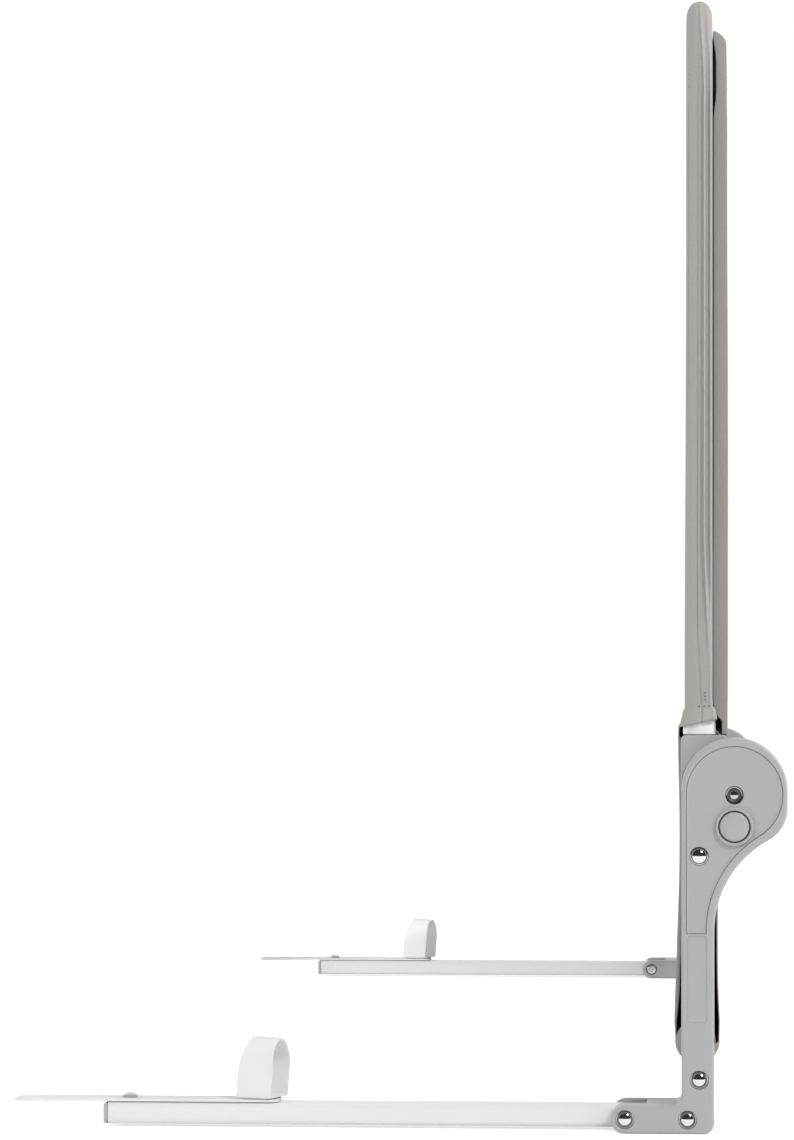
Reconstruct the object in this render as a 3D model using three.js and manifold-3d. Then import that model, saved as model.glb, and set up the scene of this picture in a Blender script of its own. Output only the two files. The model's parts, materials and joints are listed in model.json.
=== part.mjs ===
// Folding bed guard rail, at real size in millimetres.
// X runs from the bed outwards, Y along the rail, and Z up from the level that the feet stand on.
// The panel folds outwards about the pivots in the two end brackets, and the arms fold up at their pins.
// Each end is shaped in its own frame: X from the fold axis, Y the depth below the bracket's outer face.

import * as THREE from 'three';
import { mergeVertices } from 'three/addons/utils/BufferGeometryUtils.js';
import Module from 'manifold-3d';

const wasm = await Module();
wasm.setup();

// Whole rail
const railLength = 1000;
const railHeight = 539;
const gap = 0.3;
const overrun = 1;

// Bracket, seen from its outer face
const pivotHeight = 157.5;
const lobeRadius = 24.6;
const lobeRise = 2.2;
const shoulderRadius = 16.7;
const shoulderDrop = 6.1;
const neckRadius = 48.4;
const legWidth = 15.3;
const footHeight = 13.3;
const footReach = 26.25;
const footFillet = 2.8;
const heelRadius = 5.1;

// Bracket, through its thickness
const outerCheek = 13;
const slotWidth = 17;
const innerCheek = 6;
const shellWall = 2.4;
const faceThickness = 3.2;
const ribThickness = 1.6;

// Sunk face of the outer shell
const rimWidth = 3;
const faceSink = 0.8;
const faceStepHeight = 92.5;
const recessHeight = 40.8;
const recessSink = 0.5;

// Steel plates
const plateThickness = 1.8;
const plateInset = 2;

// Leg core
const coreDrop = 18;
const saddleGap = 1;
const armSlotReach = 10;

// Body bolts and arm pins
const boltRadius = 2.5;
const boltHeadRadius = 4.1;
const boltHeadHeight = 2;
const boltRecess = 2.4;
const boltRecessRadius = 4.6;
const bossRadius = 5.2;
const boltLine = 8.25;
const upperBoltDrop = 28.3;
const lowerBoltHeight = 25.2;
const cornerBoltInset = 2.85;

// Pivot bolt
const pivotRadius = 3;
const pivotHeadRadius = 3.8;
const pivotHeadHeight = 1.4;
const pivotRecess = 5;
const pivotRecessRadius = 4.2;
const pivotBossRadius = 6;

// Cross-slotted screws, driven into the bolts from the inner side
const screwRadius = 1.4;
const screwReach = 10;
const screwHeadRadius = 3.4;
const screwHeadHeight = 1.8;
const screwRecess = 2.2;
const screwRecessRadius = 3.9;
const crossLength = 3.6;
const crossWidth = 0.9;
const crossDepth = 1;

// Release button and its spring
const buttonDrop = 14.6;
const buttonRadius = 7;
const buttonProud = 0.6;
const collarRadius = 9;
const collarProud = 0.6;
const collarDepth = 3.7;
const collarWall = 1.6;
const flangeRadius = 8.6;
const flangeThickness = 1.2;
const stemRadius = 2.6;
const stemReach = 4.2;
const buttonTravel = 3;
const springRadius = 3.9;
const springWireRadius = 0.35;
const springTurns = 3.5;

// Knuckle and ferrule
const knuckleRadius = 22;
const knuckleRise = 27.9;
const knuckleBack = 24.9;
const knuckleWidth = 21.9;
const knuckleCorner = 2;
const socketDepth = 19.1;
const ferruleRadius = 7.6;
const ferruleHeight = 12.9;
const ferruleEdge = 0.8;

// Frame tube of the panel
const tubeRadius = 5.65;
const tubeWall = 1;
const tubeSetback = 16.25;
const bendRadius = 50;
const spigotLength = 80;

// Upper cover
const coverWall = 0.55;
const panelSink = 0.3;
const coverLift = 31.8;
const hemEase = 0.7;
const hemTaper = 4.7;
const hemFlare = 0.73;
const slitWidth = 1.6;
const slitDepth = 12;
const slitFoot = 77;
const slitFull = 111;
const leafThickness = 5.2;
const leafInset = 2;
const leafDrop = 21;
const leafEdge = 1.8;
const leafSeam = 1.5;

// Lower cross bar and lower cover
const barRadius = 9.4;
const barWall = 0.9;
const barHeight = 39.9;
const barSetback = 17.15;
const bossDiscRadius = 10.3;
const bossDiscThickness = 3;
const barSpigotLength = 21;
const lowerCoverWall = 1.2;
const lowerCoverBack = 8.6;
const lowerCoverFront = 9.5;
const coverSeam = 0.6;

// Arm
const armLength = 246.8;
const armWidth = 16;
const armHeight = 10.4;
const armWall = 1.2;
const armCorner = 2.5;
const capThickness = 1.8;
const capChamfer = 1;
const plugLength = 7;

// Strip, rivet and strap loop on the arm
const stripThickness = 1.2;
const stripWidth = 15.6;
const stripOverhang = 43.5;
const stripStop = 166;
const stripCorner = 3;
const rivetSetback = 11.6;
const rivetRadius = 3.6;
const rivetHeight = 1.4;
const rivetShankRadius = 1.5;
const rivetShankReach = 0.8;
const loopStop = 174.8;
const loopWidth = 16.3;
const loopSpan = 16;
const loopHeight = 28.6;
const loopThickness = 1;
const loopCorner = 1.6;
const loopCrownShare = 0.45;
const loopTurn = THREE.MathUtils.degToRad(-22);

// Fineness of round shapes
const chordHeight = 0.25;
const fewestChords = 2;
const crownSteps = 5;
const roundSides = 20;
const boltSides = 12;
const domeSteps = 2;
const tubeSides = 16;
const bendSteps = 5;
const wireSides = 5;
const stepsPerTurn = 8;
const ribCount = 3;
const weldShare = 1e-6;

// Places worked out from the sizes
const halfLength = railLength / 2;
const legBack = -lobeRadius;
const legFront = legBack + legWidth;
const lobeHeight = pivotHeight + lobeRise;
const pinX = legBack - footReach;
const pinHeight = footHeight / 2;
const slotStart = outerCheek;
const slotEnd = slotStart + slotWidth;
const slotMiddle = (slotStart + slotEnd) / 2;
const bracketDepth = slotEnd + innerCheek;
const outerPlateBack = slotStart - gap;
const outerPlateFront = outerPlateBack - plateThickness;
const innerPlateFront = slotEnd + gap;
const innerPlateBack = innerPlateFront + plateThickness;
const boltLineX = legBack + boltLine;
const upperBoltHeight = pivotHeight - upperBoltDrop;
const buttonHeight = pivotHeight - buttonDrop;
const flangeFront = collarDepth + gap;
const flangeBack = flangeFront + flangeThickness;
const tubeX = -tubeSetback;
const sleeveRadius = tubeRadius + gap + coverWall;
const frameTop = railHeight - sleeveRadius;
const knuckleTop = pivotHeight + knuckleRise;
const ferruleBottom = knuckleTop + gap;
const ferruleTop = ferruleBottom + ferruleHeight;
const coverBottom = pivotHeight + coverLift;
const barX = -barSetback;
const bossFace = bracketDepth + bossDiscThickness;
const barStart = bossFace + gap;
const armTop = armHeight / 2;
const stripTop = armTop + gap + stripThickness;

const bodyBolts = [
  { name: 'upper', x: boltLineX, z: upperBoltHeight },
  { name: 'lower', x: boltLineX, z: lowerBoltHeight },
  { name: 'corner', x: legBack + cornerBoltInset, z: pinHeight },
];
const armPin = { name: 'arm', x: pinX, z: pinHeight };
const allBolts = [...bodyBolts, armPin];

// Finishes
const finish = (color, roughness, metalness) => new THREE.MeshStandardMaterial({ color, roughness, metalness });
const greyPlastic = finish(0xb2b2b1, 0.5, 0);
const capPlastic = finish(0xa8a8a7, 0.55, 0);
const whitePaint = finish(0xebebe9, 0.35, 0);
const whiteWebbing = finish(0xeeeeec, 0.8, 0);
const chrome = finish(0xd2d3d4, 0.15, 1);
const zincSteel = finish(0x9da1a4, 0.4, 1);
const greyFabric = finish(0xaca8a3, 0.95, 0);

// A closed body from a three.js geometry, with its shared points merged and its faces pointing out
function solid(geometry) {
  const bare = new THREE.BufferGeometry();
  bare.setAttribute('position', geometry.getAttribute('position'));
  bare.setIndex(geometry.getIndex());
  bare.computeBoundingSphere();
  const merged = mergeVertices(bare, bare.boundingSphere.radius * weldShare);
  const points = merged.getAttribute('position');
  const corners = [0, 1, 2].map(() => new THREE.Vector3());
  const faces = [];
  let volume = 0;
  for (let at = 0; at < merged.index.count; at += corners.length) {
    const face = corners.map((corner, k) => merged.index.getX(at + k));
    if (new Set(face).size < corners.length) continue;
    face.forEach((vertex, k) => corners[k].fromBufferAttribute(points, vertex));
    volume += corners[0].dot(corners[1].clone().cross(corners[2]));
    faces.push(face);
  }
  const outward = volume > 0 ? faces : faces.map((face) => [...face].reverse());
  const vertProperties = Float32Array.from(points.array);
  const triVerts = Uint32Array.from(outward.flat());
  return new wasm.Manifold(new wasm.Mesh({ numProp: 3, vertProperties, triVerts }));
}

const join = (first, ...others) => others.reduce((whole, body) => whole.add(body), first);
const cut = (first, ...tools) => tools.reduce((rest, tool) => rest.subtract(tool), first);

// A finished mesh of a body. The right end is the left one's mirror image in Y.
function piece(name, body, material, mirrored = false) {
  const { vertProperties, triVerts } = body.getMesh();
  const points = Float32Array.from(vertProperties, (value, k) => (mirrored && k % 3 === 1 ? -value : value));
  const index = Array.from(triVerts);
  if (mirrored) index.reverse();
  const geometry = new THREE.BufferGeometry();
  geometry.setAttribute('position', new THREE.BufferAttribute(points, 3));
  geometry.setIndex(index);
  geometry.computeVertexNormals();
  const mesh = new THREE.Mesh(geometry, material);
  mesh.name = name;
  return mesh;
}

// An outline in X and Z, between two depths
function slab(shape, from, to) {
  const geometry = new THREE.ExtrudeGeometry(shape, {
    depth: to - from,
    bevelEnabled: false,
  });
  geometry.rotateX(Math.PI / 2);
  geometry.translate(0, to, 0);
  return solid(geometry);
}

// An outline in Y and Z, between two places along X, with its edges rounded where an edge is given
function beam(shape, from, to, edge = 0) {
  const geometry = new THREE.ExtrudeGeometry(shape, {
    depth: to - from - edge - edge,
    bevelEnabled: edge > 0,
    bevelThickness: edge,
    bevelSize: edge,
    bevelOffset: -edge,
    bevelSegments: domeSteps,
    curveSegments: crownSteps,
  });
  geometry.translate(0, 0, from + edge);
  const alongY = new THREE.Vector3(0, 1, 0);
  const alongZ = new THREE.Vector3(0, 0, 1);
  const alongX = new THREE.Vector3(1, 0, 0);
  geometry.applyMatrix4(new THREE.Matrix4().makeBasis(alongY, alongZ, alongX));
  return solid(geometry);
}

// A round bar along Y
function rod(radius, from, to, x = 0, z = 0, sides = boltSides) {
  const geometry = new THREE.CylinderGeometry(radius, radius, to - from, sides);
  geometry.translate(x, (from + to) / 2, z);
  return solid(geometry);
}

// A block between two corners
function block(x0, x1, y0, y1, z0, z1) {
  const geometry = new THREE.BoxGeometry(x1 - x0, y1 - y0, z1 - z0);
  geometry.translate((x0 + x1) / 2, (y0 + y1) / 2, (z0 + z1) / 2);
  return solid(geometry);
}

// A profile of radius and depth, turned about Y
function turned(profile, sides = boltSides) {
  const points = profile.map(([radius, depth]) => new THREE.Vector2(radius, depth));
  return solid(new THREE.LatheGeometry(points, sides));
}

// A quarter round from the axis at the crown out to the rim
function domeProfile(radius, height, base) {
  return Array.from({ length: domeSteps + 1 }, (unused, k) => {
    const turn = (k / domeSteps) * (Math.PI / 2);
    return [radius * Math.sin(turn), base - height * Math.cos(turn)];
  });
}

// Adds an arc to an outline, as chords that stay within the chord height of it
function arc(shape, x, y, radius, from, to) {
  const turn = Math.acos(1 - Math.min(chordHeight / radius, 1)) * 2;
  const steps = Math.max(fewestChords, Math.ceil(Math.abs(to - from) / turn));
  for (let k = 0; k <= steps; k += 1) {
    const angle = from + ((to - from) * k) / steps;
    shape.lineTo(x + radius * Math.cos(angle), y + radius * Math.sin(angle));
  }
}

// A rectangle about a centre, with rounded corners
function roundedRectangle(width, height, radius, x = 0, y = 0) {
  const right = x + width / 2;
  const left = x - width / 2;
  const top = y + height / 2;
  const bottom = y - height / 2;
  const shape = new THREE.Shape();
  shape.moveTo(left + radius, bottom);
  shape.lineTo(right - radius, bottom);
  arc(shape, right - radius, bottom + radius, radius, -Math.PI / 2, 0);
  shape.lineTo(right, top - radius);
  arc(shape, right - radius, top - radius, radius, 0, Math.PI / 2);
  shape.lineTo(left + radius, top);
  arc(shape, left + radius, top - radius, radius, Math.PI / 2, Math.PI);
  shape.lineTo(left, bottom + radius);
  arc(shape, left + radius, bottom + radius, radius, Math.PI, Math.PI * 1.5);
  return shape;
}

// A closed skin through rings of equally many points, with a flat end on the first and last ring
function loft(rings) {
  const count = rings[0].length;
  const last = (rings.length - 1) * count;
  const index = [];
  for (let start = 0; start < last; start += count) {
    for (let k = 0; k < count; k += 1) {
      const next = (k + 1) % count;
      index.push(start + k, start + next, start + count + next);
      index.push(start + k, start + count + next, start + count + k);
    }
  }
  for (let k = 1; k < count - 1; k += 1) {
    index.push(0, k + 1, k);
    index.push(last, last + k, last + k + 1);
  }
  const geometry = new THREE.BufferGeometry();
  geometry.setAttribute('position', new THREE.Float32BufferAttribute(rings.flat().flatMap((p) => p.toArray()), 3));
  geometry.setIndex(index);
  return solid(geometry);
}

// A ring of points about a centre, in the plane of two unit directions
function ring(centre, radius, across, up, sides) {
  return Array.from({ length: sides }, (unused, k) => {
    const turn = (k / sides) * Math.PI * 2;
    const point = centre.clone();
    point.addScaledVector(across, radius * Math.cos(turn));
    return point.addScaledVector(up, radius * Math.sin(turn));
  });
}

// The bracket's outline, drawn in from its edge by an inset:
// the leg, the round lobe with its lower shoulder, the concave neck, the heel, and the foot with its round toe
function bracketOutline(inset) {
  const shoulder = new THREE.Vector2(lobeRadius - shoulderRadius, pivotHeight - shoulderDrop);
  const neckX = legFront + neckRadius;
  const reach = shoulderRadius + neckRadius;
  const neck = new THREE.Vector2(neckX, shoulder.y - Math.sqrt(reach ** 2 - (neckX - shoulder.x) ** 2));
  const lean = Math.atan2(shoulder.y - neck.y, neck.x - shoulder.x);
  const shape = new THREE.Shape();
  shape.moveTo(legBack + inset, footHeight + footFillet);
  shape.lineTo(legBack + inset, lobeHeight);
  arc(shape, 0, lobeHeight, lobeRadius - inset, Math.PI, 0);
  shape.lineTo(lobeRadius - inset, shoulder.y);
  arc(shape, shoulder.x, shoulder.y, shoulderRadius - inset, 0, -lean);
  arc(shape, neck.x, neck.y, neckRadius + inset, Math.PI - lean, Math.PI);
  shape.lineTo(legFront - inset, heelRadius);
  arc(shape, legFront - heelRadius, heelRadius, heelRadius - inset, 0, -Math.PI / 2);
  shape.lineTo(pinX, inset);
  arc(shape, pinX, pinHeight, pinHeight - inset, -Math.PI / 2, -Math.PI * 1.5);
  shape.lineTo(legBack - footFillet, footHeight - inset);
  arc(shape, legBack - footFillet, footHeight + footFillet, footFillet + inset, -Math.PI / 2, 0);
  return shape;
}

// The slot that the button's stem runs in: half a turn about the pivot, on the side away from the bed
function stemSlot() {
  const half = stemRadius + gap;
  const quarter = Math.PI / 2;
  const shape = new THREE.Shape();
  shape.moveTo(0, -buttonDrop - half);
  arc(shape, 0, 0, buttonDrop + half, -quarter, quarter);
  arc(shape, 0, buttonDrop, half, quarter, quarter * 3);
  arc(shape, 0, 0, buttonDrop - half, quarter, -quarter);
  arc(shape, 0, -buttonDrop, half, quarter, quarter * 3);
  return shape;
}

// Outer shell: a moulding with a sunk face, a bare label recess, screw bosses, ribs and the button's barrel,
// and a ledge inside that the steel plate seats on
function outerShell() {
  const pocketFloor = outerPlateFront - gap;
  const chamberRadius = flangeRadius + gap;
  const sunkLobe = slab(bracketOutline(rimWidth), -overrun, faceSink);
  const aboveStep = block(-railHeight, railHeight, -overrun, faceSink, faceStepHeight, railHeight);
  const recessWidth = legWidth - rimWidth * 2;
  const recess = roundedRectangle(
    recessWidth,
    recessHeight,
    recessSink,
    legBack + rimWidth + recessWidth / 2,
    faceStepHeight - recessHeight / 2,
  );
  const face = cut(
    slab(bracketOutline(0), 0, slotStart),
    sunkLobe.intersect(aboveStep),
    slab(recess, -overrun, recessSink),
  );
  const collar = rod(collarRadius, -collarProud, faceThickness, 0, buttonHeight, roundSides);

  const bosses = allBolts.map(({ x, z }) => rod(bossRadius, faceThickness, pocketFloor, x, z));
  const ribSpacing = (upperBoltHeight - lowerBoltHeight) / (ribCount + 1);
  const ribs = Array.from({ length: ribCount }, (unused, k) => {
    const middle = lowerBoltHeight + ribSpacing * (k + 1);
    return block(legBack, legFront, faceThickness, pocketFloor, middle - ribThickness / 2, middle + ribThickness / 2);
  });
  const cavity = cut(
    slab(bracketOutline(shellWall), faceThickness, pocketFloor + overrun),
    ...bosses,
    ...ribs,
    rod(pivotBossRadius, faceThickness, pocketFloor, 0, pivotHeight),
    rod(chamberRadius + collarWall, faceThickness, pocketFloor, 0, buttonHeight, roundSides),
  );

  const boltHoles = allBolts.flatMap(({ x, z }) => [
    rod(boltRadius + gap, -overrun, slotStart, x, z),
    rod(boltRecessRadius, -overrun, boltRecess, x, z),
  ]);
  return cut(
    join(face, collar),
    cavity,
    slab(bracketOutline(plateInset - gap), pocketFloor, slotStart + overrun),
    ...boltHoles,
    rod(pivotRadius + gap, -overrun, slotStart, 0, pivotHeight),
    rod(pivotRecessRadius, -overrun, pivotRecess, 0, pivotHeight),
    rod(buttonRadius + gap, -collarProud - overrun, slotStart, 0, buttonHeight, roundSides),
    rod(chamberRadius, collarDepth, slotStart, 0, buttonHeight, roundSides),
  );
}

// Inner shell: a cover for the inner plate, with the round boss and spigot that carry the lower cross bar
function innerShell() {
  const pocketFloor = innerPlateBack + gap;
  const boss = rod(bossDiscRadius, bracketDepth - overrun, bossFace, barX, barHeight, roundSides);
  const spigotRadius = barRadius - barWall - gap;
  const spigot = rod(spigotRadius, bossFace - overrun, bossFace + barSpigotLength, barX, barHeight, roundSides);
  const sites = [...allBolts, { x: 0, z: pivotHeight }];
  const screwHoles = sites.flatMap(({ x, z }) => [
    rod(screwRadius + gap, slotEnd - overrun, bracketDepth + overrun, x, z),
    rod(screwRecessRadius, bracketDepth - screwRecess, bracketDepth + overrun, x, z),
  ]);
  return cut(
    join(slab(bracketOutline(0), slotEnd, bracketDepth), boss, spigot),
    slab(bracketOutline(plateInset - gap), slotEnd - overrun, pocketFloor),
    ...screwHoles,
  );
}

// Leg core: fills the leg and foot between the cheeks, with a saddle under the knuckle
// and a floor under the arm that the arm comes to rest on
function legCore() {
  const from = slotStart + gap;
  const to = slotEnd - gap;
  const whole = slab(bracketOutline(0), from, to);
  const legPart = block(pinX + armSlotReach, legFront + overrun, from, to, -overrun, pivotHeight - coreDrop);
  const floorPart = block(pinX - footHeight, legFront, from, to, -overrun, pinHeight - armHeight / 2 - gap);
  return cut(
    join(whole.intersect(legPart), whole.intersect(floorPart)),
    rod(knuckleRadius + saddleGap, slotStart, slotEnd, 0, pivotHeight, roundSides * 2),
    ...bodyBolts.map(({ x, z }) => rod(boltRadius + gap, slotStart, slotEnd, x, z)),
  );
}

// Steel plate, one in each shell. The outer one has the hole for the button's stem.
function plate(from, to, withStemHole) {
  const body = cut(
    slab(bracketOutline(plateInset), from, to),
    ...allBolts.map(({ x, z }) => rod(boltRadius + gap, from - overrun, to + overrun, x, z)),
    rod(pivotRadius + gap, from - overrun, to + overrun, 0, pivotHeight),
  );
  const stemHole = rod(stemRadius + gap, from - overrun, to + overrun, 0, buttonHeight);
  return withStemHole ? cut(body, stemHole) : body;
}

// Bolt: a domed head in the outer face, and a barrel through the bracket with a blind hole for its screw
function bolt(radius, headRadius, headHeight, headBase) {
  const threadStart = bracketDepth - screwRecess - screwReach;
  return turned([
    ...domeProfile(headRadius, headHeight, headBase),
    [radius, headBase],
    [radius, innerPlateBack],
    [screwRadius + gap, innerPlateBack],
    [screwRadius + gap, threadStart],
    [0, threadStart],
  ]);
}

// Pan head screw with a cross slot
function screw() {
  const headBase = bracketDepth - screwRecess + gap;
  const headTop = headBase + screwHeadHeight;
  const shank = bracketDepth - screwRecess - screwReach + gap;
  const body = turned([
    [0, shank],
    [screwRadius, shank],
    [screwRadius, headBase],
    [screwHeadRadius, headBase],
    [screwHeadRadius, headTop],
    [0, headTop],
  ]);
  const arm = crossLength / 2;
  const half = crossWidth / 2;
  return cut(
    body,
    block(-arm, arm, headTop - crossDepth, headTop + overrun, -half, half),
    block(-half, half, headTop - crossDepth, headTop + overrun, -arm, arm),
  );
}

// Release button: a flat cap, the flange that holds it behind the collar, and a stem into the knuckle's slot
function releaseButton() {
  const top = -collarProud - buttonProud;
  const edge = buttonProud;
  return turned([
    [0, top],
    [buttonRadius - edge, top],
    [buttonRadius, top + edge],
    [buttonRadius, flangeFront],
    [flangeRadius, flangeFront],
    [flangeRadius, flangeBack],
    [stemRadius, flangeBack],
    [stemRadius, slotStart + gap + stemReach],
    [0, slotStart + gap + stemReach],
  ], roundSides);
}

// Return spring: a wire wound about the stem, between the button's flange and the outer plate
function buttonSpring() {
  const start = flangeBack + gap + springWireRadius;
  const end = outerPlateFront - gap - springWireRadius;
  const steps = Math.round(springTurns * stepsPerTurn);
  const pitch = (end - start) / springTurns;
  const alongAxis = new THREE.Vector3(0, 1, 0);
  const rings = Array.from({ length: steps + 1 }, (unused, k) => {
    const turn = (k / stepsPerTurn) * Math.PI * 2;
    const outward = new THREE.Vector3(Math.cos(turn), 0, Math.sin(turn));
    const centre = outward.clone().multiplyScalar(springRadius);
    centre.addScaledVector(alongAxis, start + (k / steps) * (end - start));
    return ring(centre, springWireRadius, outward, alongAxis, wireSides);
  });
  console.log(`least gap between the spring's turns ${(pitch - springWireRadius * 2).toFixed(2)} mm`);
  return loft(rings);
}

// Knuckle: a disc on the pivot, carrying the block that the frame tube stands in
function knuckle() {
  const from = slotStart + gap;
  const to = slotEnd - gap;
  const head = roundedRectangle(
    knuckleWidth,
    knuckleRise,
    knuckleCorner,
    knuckleWidth / 2 - knuckleBack,
    knuckleRise / 2,
  );
  const socket = new THREE.CylinderGeometry(tubeRadius + gap, tubeRadius + gap, socketDepth * 2, tubeSides);
  socket.rotateX(Math.PI / 2);
  socket.translate(tubeX, slotMiddle, knuckleRise);
  return cut(
    join(rod(knuckleRadius, from, to, 0, 0, roundSides * 2), slab(head, from, to)),
    rod(pivotRadius + gap, slotStart, slotEnd),
    slab(stemSlot(), slotStart, slotStart + stemReach + buttonTravel + overrun),
    solid(socket),
  );
}

// Ferrule: a collar round the foot of the frame tube
function ferrule() {
  const bore = tubeRadius + gap;
  const body = turned([
    [bore, 0],
    [ferruleRadius, 0],
    [ferruleRadius, ferruleHeight - ferruleEdge],
    [ferruleRadius - ferruleEdge, ferruleHeight],
    [bore, ferruleHeight],
    [bore, 0],
  ], tubeSides);
  return body.rotate([90, 0, 0]);
}

// Stations along the arched frame, from the left foot up, across and down to the right foot
function archStations(bottom) {
  const end = halfLength - slotMiddle;
  const bendY = end - bendRadius;
  const bendZ = frameTop - bendRadius;
  const left = Array.from({ length: bendSteps + 1 }, (unused, k) => {
    const turn = (k / bendSteps) * (Math.PI / 2);
    return { y: -bendY - bendRadius * Math.cos(turn), z: bendZ + bendRadius * Math.sin(turn), turn };
  });
  const rightHalf = left.map(({ y, z, turn }) => ({ y: -y, z, turn: Math.PI - turn })).reverse();
  return [{ y: -end, z: bottom, turn: 0 }, ...left, ...rightHalf, { y: end, z: bottom, turn: Math.PI }];
}

// A round tube through stations of the arch
function archTube(stations, radius) {
  const across = new THREE.Vector3(1, 0, 0);
  return loft(stations.map(({ y, z, turn }) => {
    const outward = new THREE.Vector3(0, -Math.cos(turn), Math.sin(turn));
    return ring(new THREE.Vector3(0, y, z), radius, across, outward, tubeSides);
  }));
}

// One half of the bent frame tube, from its knuckle to the middle of the rail
function frameTube() {
  const half = archStations(knuckleTop - socketDepth + gap).slice(0, bendSteps + 2);
  const stations = [...half, { y: -gap / 2, z: frameTop, turn: Math.PI / 2 }];
  const longer = [...half, { y: overrun, z: frameTop, turn: Math.PI / 2 }];
  longer[0] = { ...longer[0], z: longer[0].z - overrun };
  return cut(archTube(stations, tubeRadius), archTube(longer, tubeRadius - tubeWall));
}

// The panel's outline in Y and Z, with its two upper corners rounded like the frame
function panelOutline(halfWidth, bottom, top, radius) {
  const shape = new THREE.Shape();
  shape.moveTo(-halfWidth, bottom);
  shape.lineTo(halfWidth, bottom);
  shape.lineTo(halfWidth, top - radius);
  arc(shape, halfWidth - radius, top - radius, radius, 0, Math.PI / 2);
  shape.lineTo(radius - halfWidth, top);
  arc(shape, radius - halfWidth, top - radius, radius, Math.PI / 2, Math.PI);
  return shape;
}

// The fabric bag or its hollow: round along the arch, flat between, with a flared cup at each foot
function coverForm(inward, bottom) {
  const radius = sleeveRadius - inward;
  const flat = radius - panelSink;
  const end = halfLength - slotMiddle;
  const kink = ferruleTop + hemEase;
  const kinkRadius = ferruleRadius + gap + coverWall - inward;
  const across = new THREE.Vector3(1, 0, 0);
  const along = new THREE.Vector3(0, 1, 0);
  const cup = (y) => loft([
    ring(new THREE.Vector3(-hemFlare, y, bottom), kinkRadius + hemFlare, across, along, tubeSides),
    ring(new THREE.Vector3(0, y, kink), kinkRadius, across, along, tubeSides),
    ring(new THREE.Vector3(0, y, kink + hemTaper), radius, across, along, tubeSides),
  ]);
  return join(
    archTube(archStations(bottom), radius),
    beam(panelOutline(end, bottom, frameTop, bendRadius), -flat, flat),
    cup(-end),
    cup(end),
  );
}

// Upper cover: a thin bag over the frame, open at the bottom, with a padded leaf on its outer side.
// The leaf stands off at the ends and the top, and closes on the bag towards the bottom.
function upperCover() {
  const leafBack = sleeveRadius + slitWidth;
  const leafHalf = halfLength - slotMiddle + sleeveRadius - leafInset;
  const leafTop = railHeight - leafDrop;
  const leaf = beam(
    panelOutline(leafHalf, coverBottom, leafTop, bendRadius),
    leafBack,
    leafBack + leafThickness,
    leafEdge,
  );
  const seamHalf = leafHalf - leafSeam;
  const slitHalf = leafHalf - slitDepth;
  const seam = new THREE.Shape();
  seam.moveTo(-seamHalf, coverBottom + leafEdge);
  seam.lineTo(seamHalf, coverBottom + leafEdge);
  seam.lineTo(seamHalf, coverBottom + slitFoot);
  seam.lineTo(slitHalf, coverBottom + slitFull);
  seam.lineTo(slitHalf, leafTop - bendRadius);
  seam.lineTo(slitHalf - bendRadius, leafTop - slitDepth);
  seam.lineTo(bendRadius - slitHalf, leafTop - slitDepth);
  seam.lineTo(-slitHalf, leafTop - bendRadius);
  seam.lineTo(-slitHalf, coverBottom + slitFull);
  seam.lineTo(-seamHalf, coverBottom + slitFoot);
  const bagFace = sleeveRadius - panelSink;
  const padding = beam(seam, bagFace - coverWall / 2, leafBack + leafThickness / 2);
  return cut(join(coverForm(0, coverBottom), leaf, padding), coverForm(coverWall, coverBottom - overrun));
}

// Lower cover: a sling of fabric that hangs round the lower cross bar, open at its ends and top
function lowerCover() {
  const radius = barRadius + gap + lowerCoverWall;
  const inner = radius - lowerCoverWall;
  const top = coverBottom - coverSeam;
  const shape = new THREE.Shape();
  shape.moveTo(barX - lowerCoverBack, top);
  shape.lineTo(barX - radius, barHeight);
  arc(shape, barX, barHeight, radius, Math.PI, Math.PI * 2);
  shape.lineTo(barX + lowerCoverFront, top);
  shape.lineTo(barX + lowerCoverFront - lowerCoverWall, top);
  shape.lineTo(barX + inner, barHeight);
  arc(shape, barX, barHeight, inner, 0, -Math.PI);
  shape.lineTo(barX - lowerCoverBack + lowerCoverWall, top);
  const reach = halfLength - bossFace - gap;
  return slab(shape, -reach, reach);
}

// Lower cross bar: a steel tube over the two spigots
function crossBar() {
  const reach = halfLength - barStart;
  return cut(
    rod(barRadius, -reach, reach, 0, 0, roundSides),
    rod(barRadius - barWall, -reach - overrun, reach + overrun, 0, 0, roundSides),
  );
}

// Arm tube, from its round tail at the pin to the end cap. Its own frame starts at the pin.
function armTube() {
  const end = armLength - capThickness - gap;
  const outer = roundedRectangle(armWidth, armHeight, armCorner);
  const inner = roundedRectangle(armWidth - armWall * 2, armHeight - armWall * 2, armCorner - armWall);
  const side = new THREE.Shape();
  side.moveTo(-end, -armTop);
  side.lineTo(0, -armTop);
  arc(side, 0, 0, armTop, -Math.PI / 2, Math.PI / 2);
  side.lineTo(-end, armTop);
  const tube = cut(beam(outer, -end, armTop), beam(inner, -end - overrun, armTop + overrun));
  const rivetHole = new THREE.CylinderGeometry(rivetShankRadius + gap, rivetShankRadius + gap, armTop, boltSides);
  rivetHole.rotateX(Math.PI / 2);
  rivetHole.translate(rivetSetback - armLength, 0, armTop);
  return cut(
    tube.intersect(slab(side, -armWidth, armWidth)),
    rod(boltRadius + gap, -armWidth, armWidth),
    solid(rivetHole),
  );
}

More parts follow.
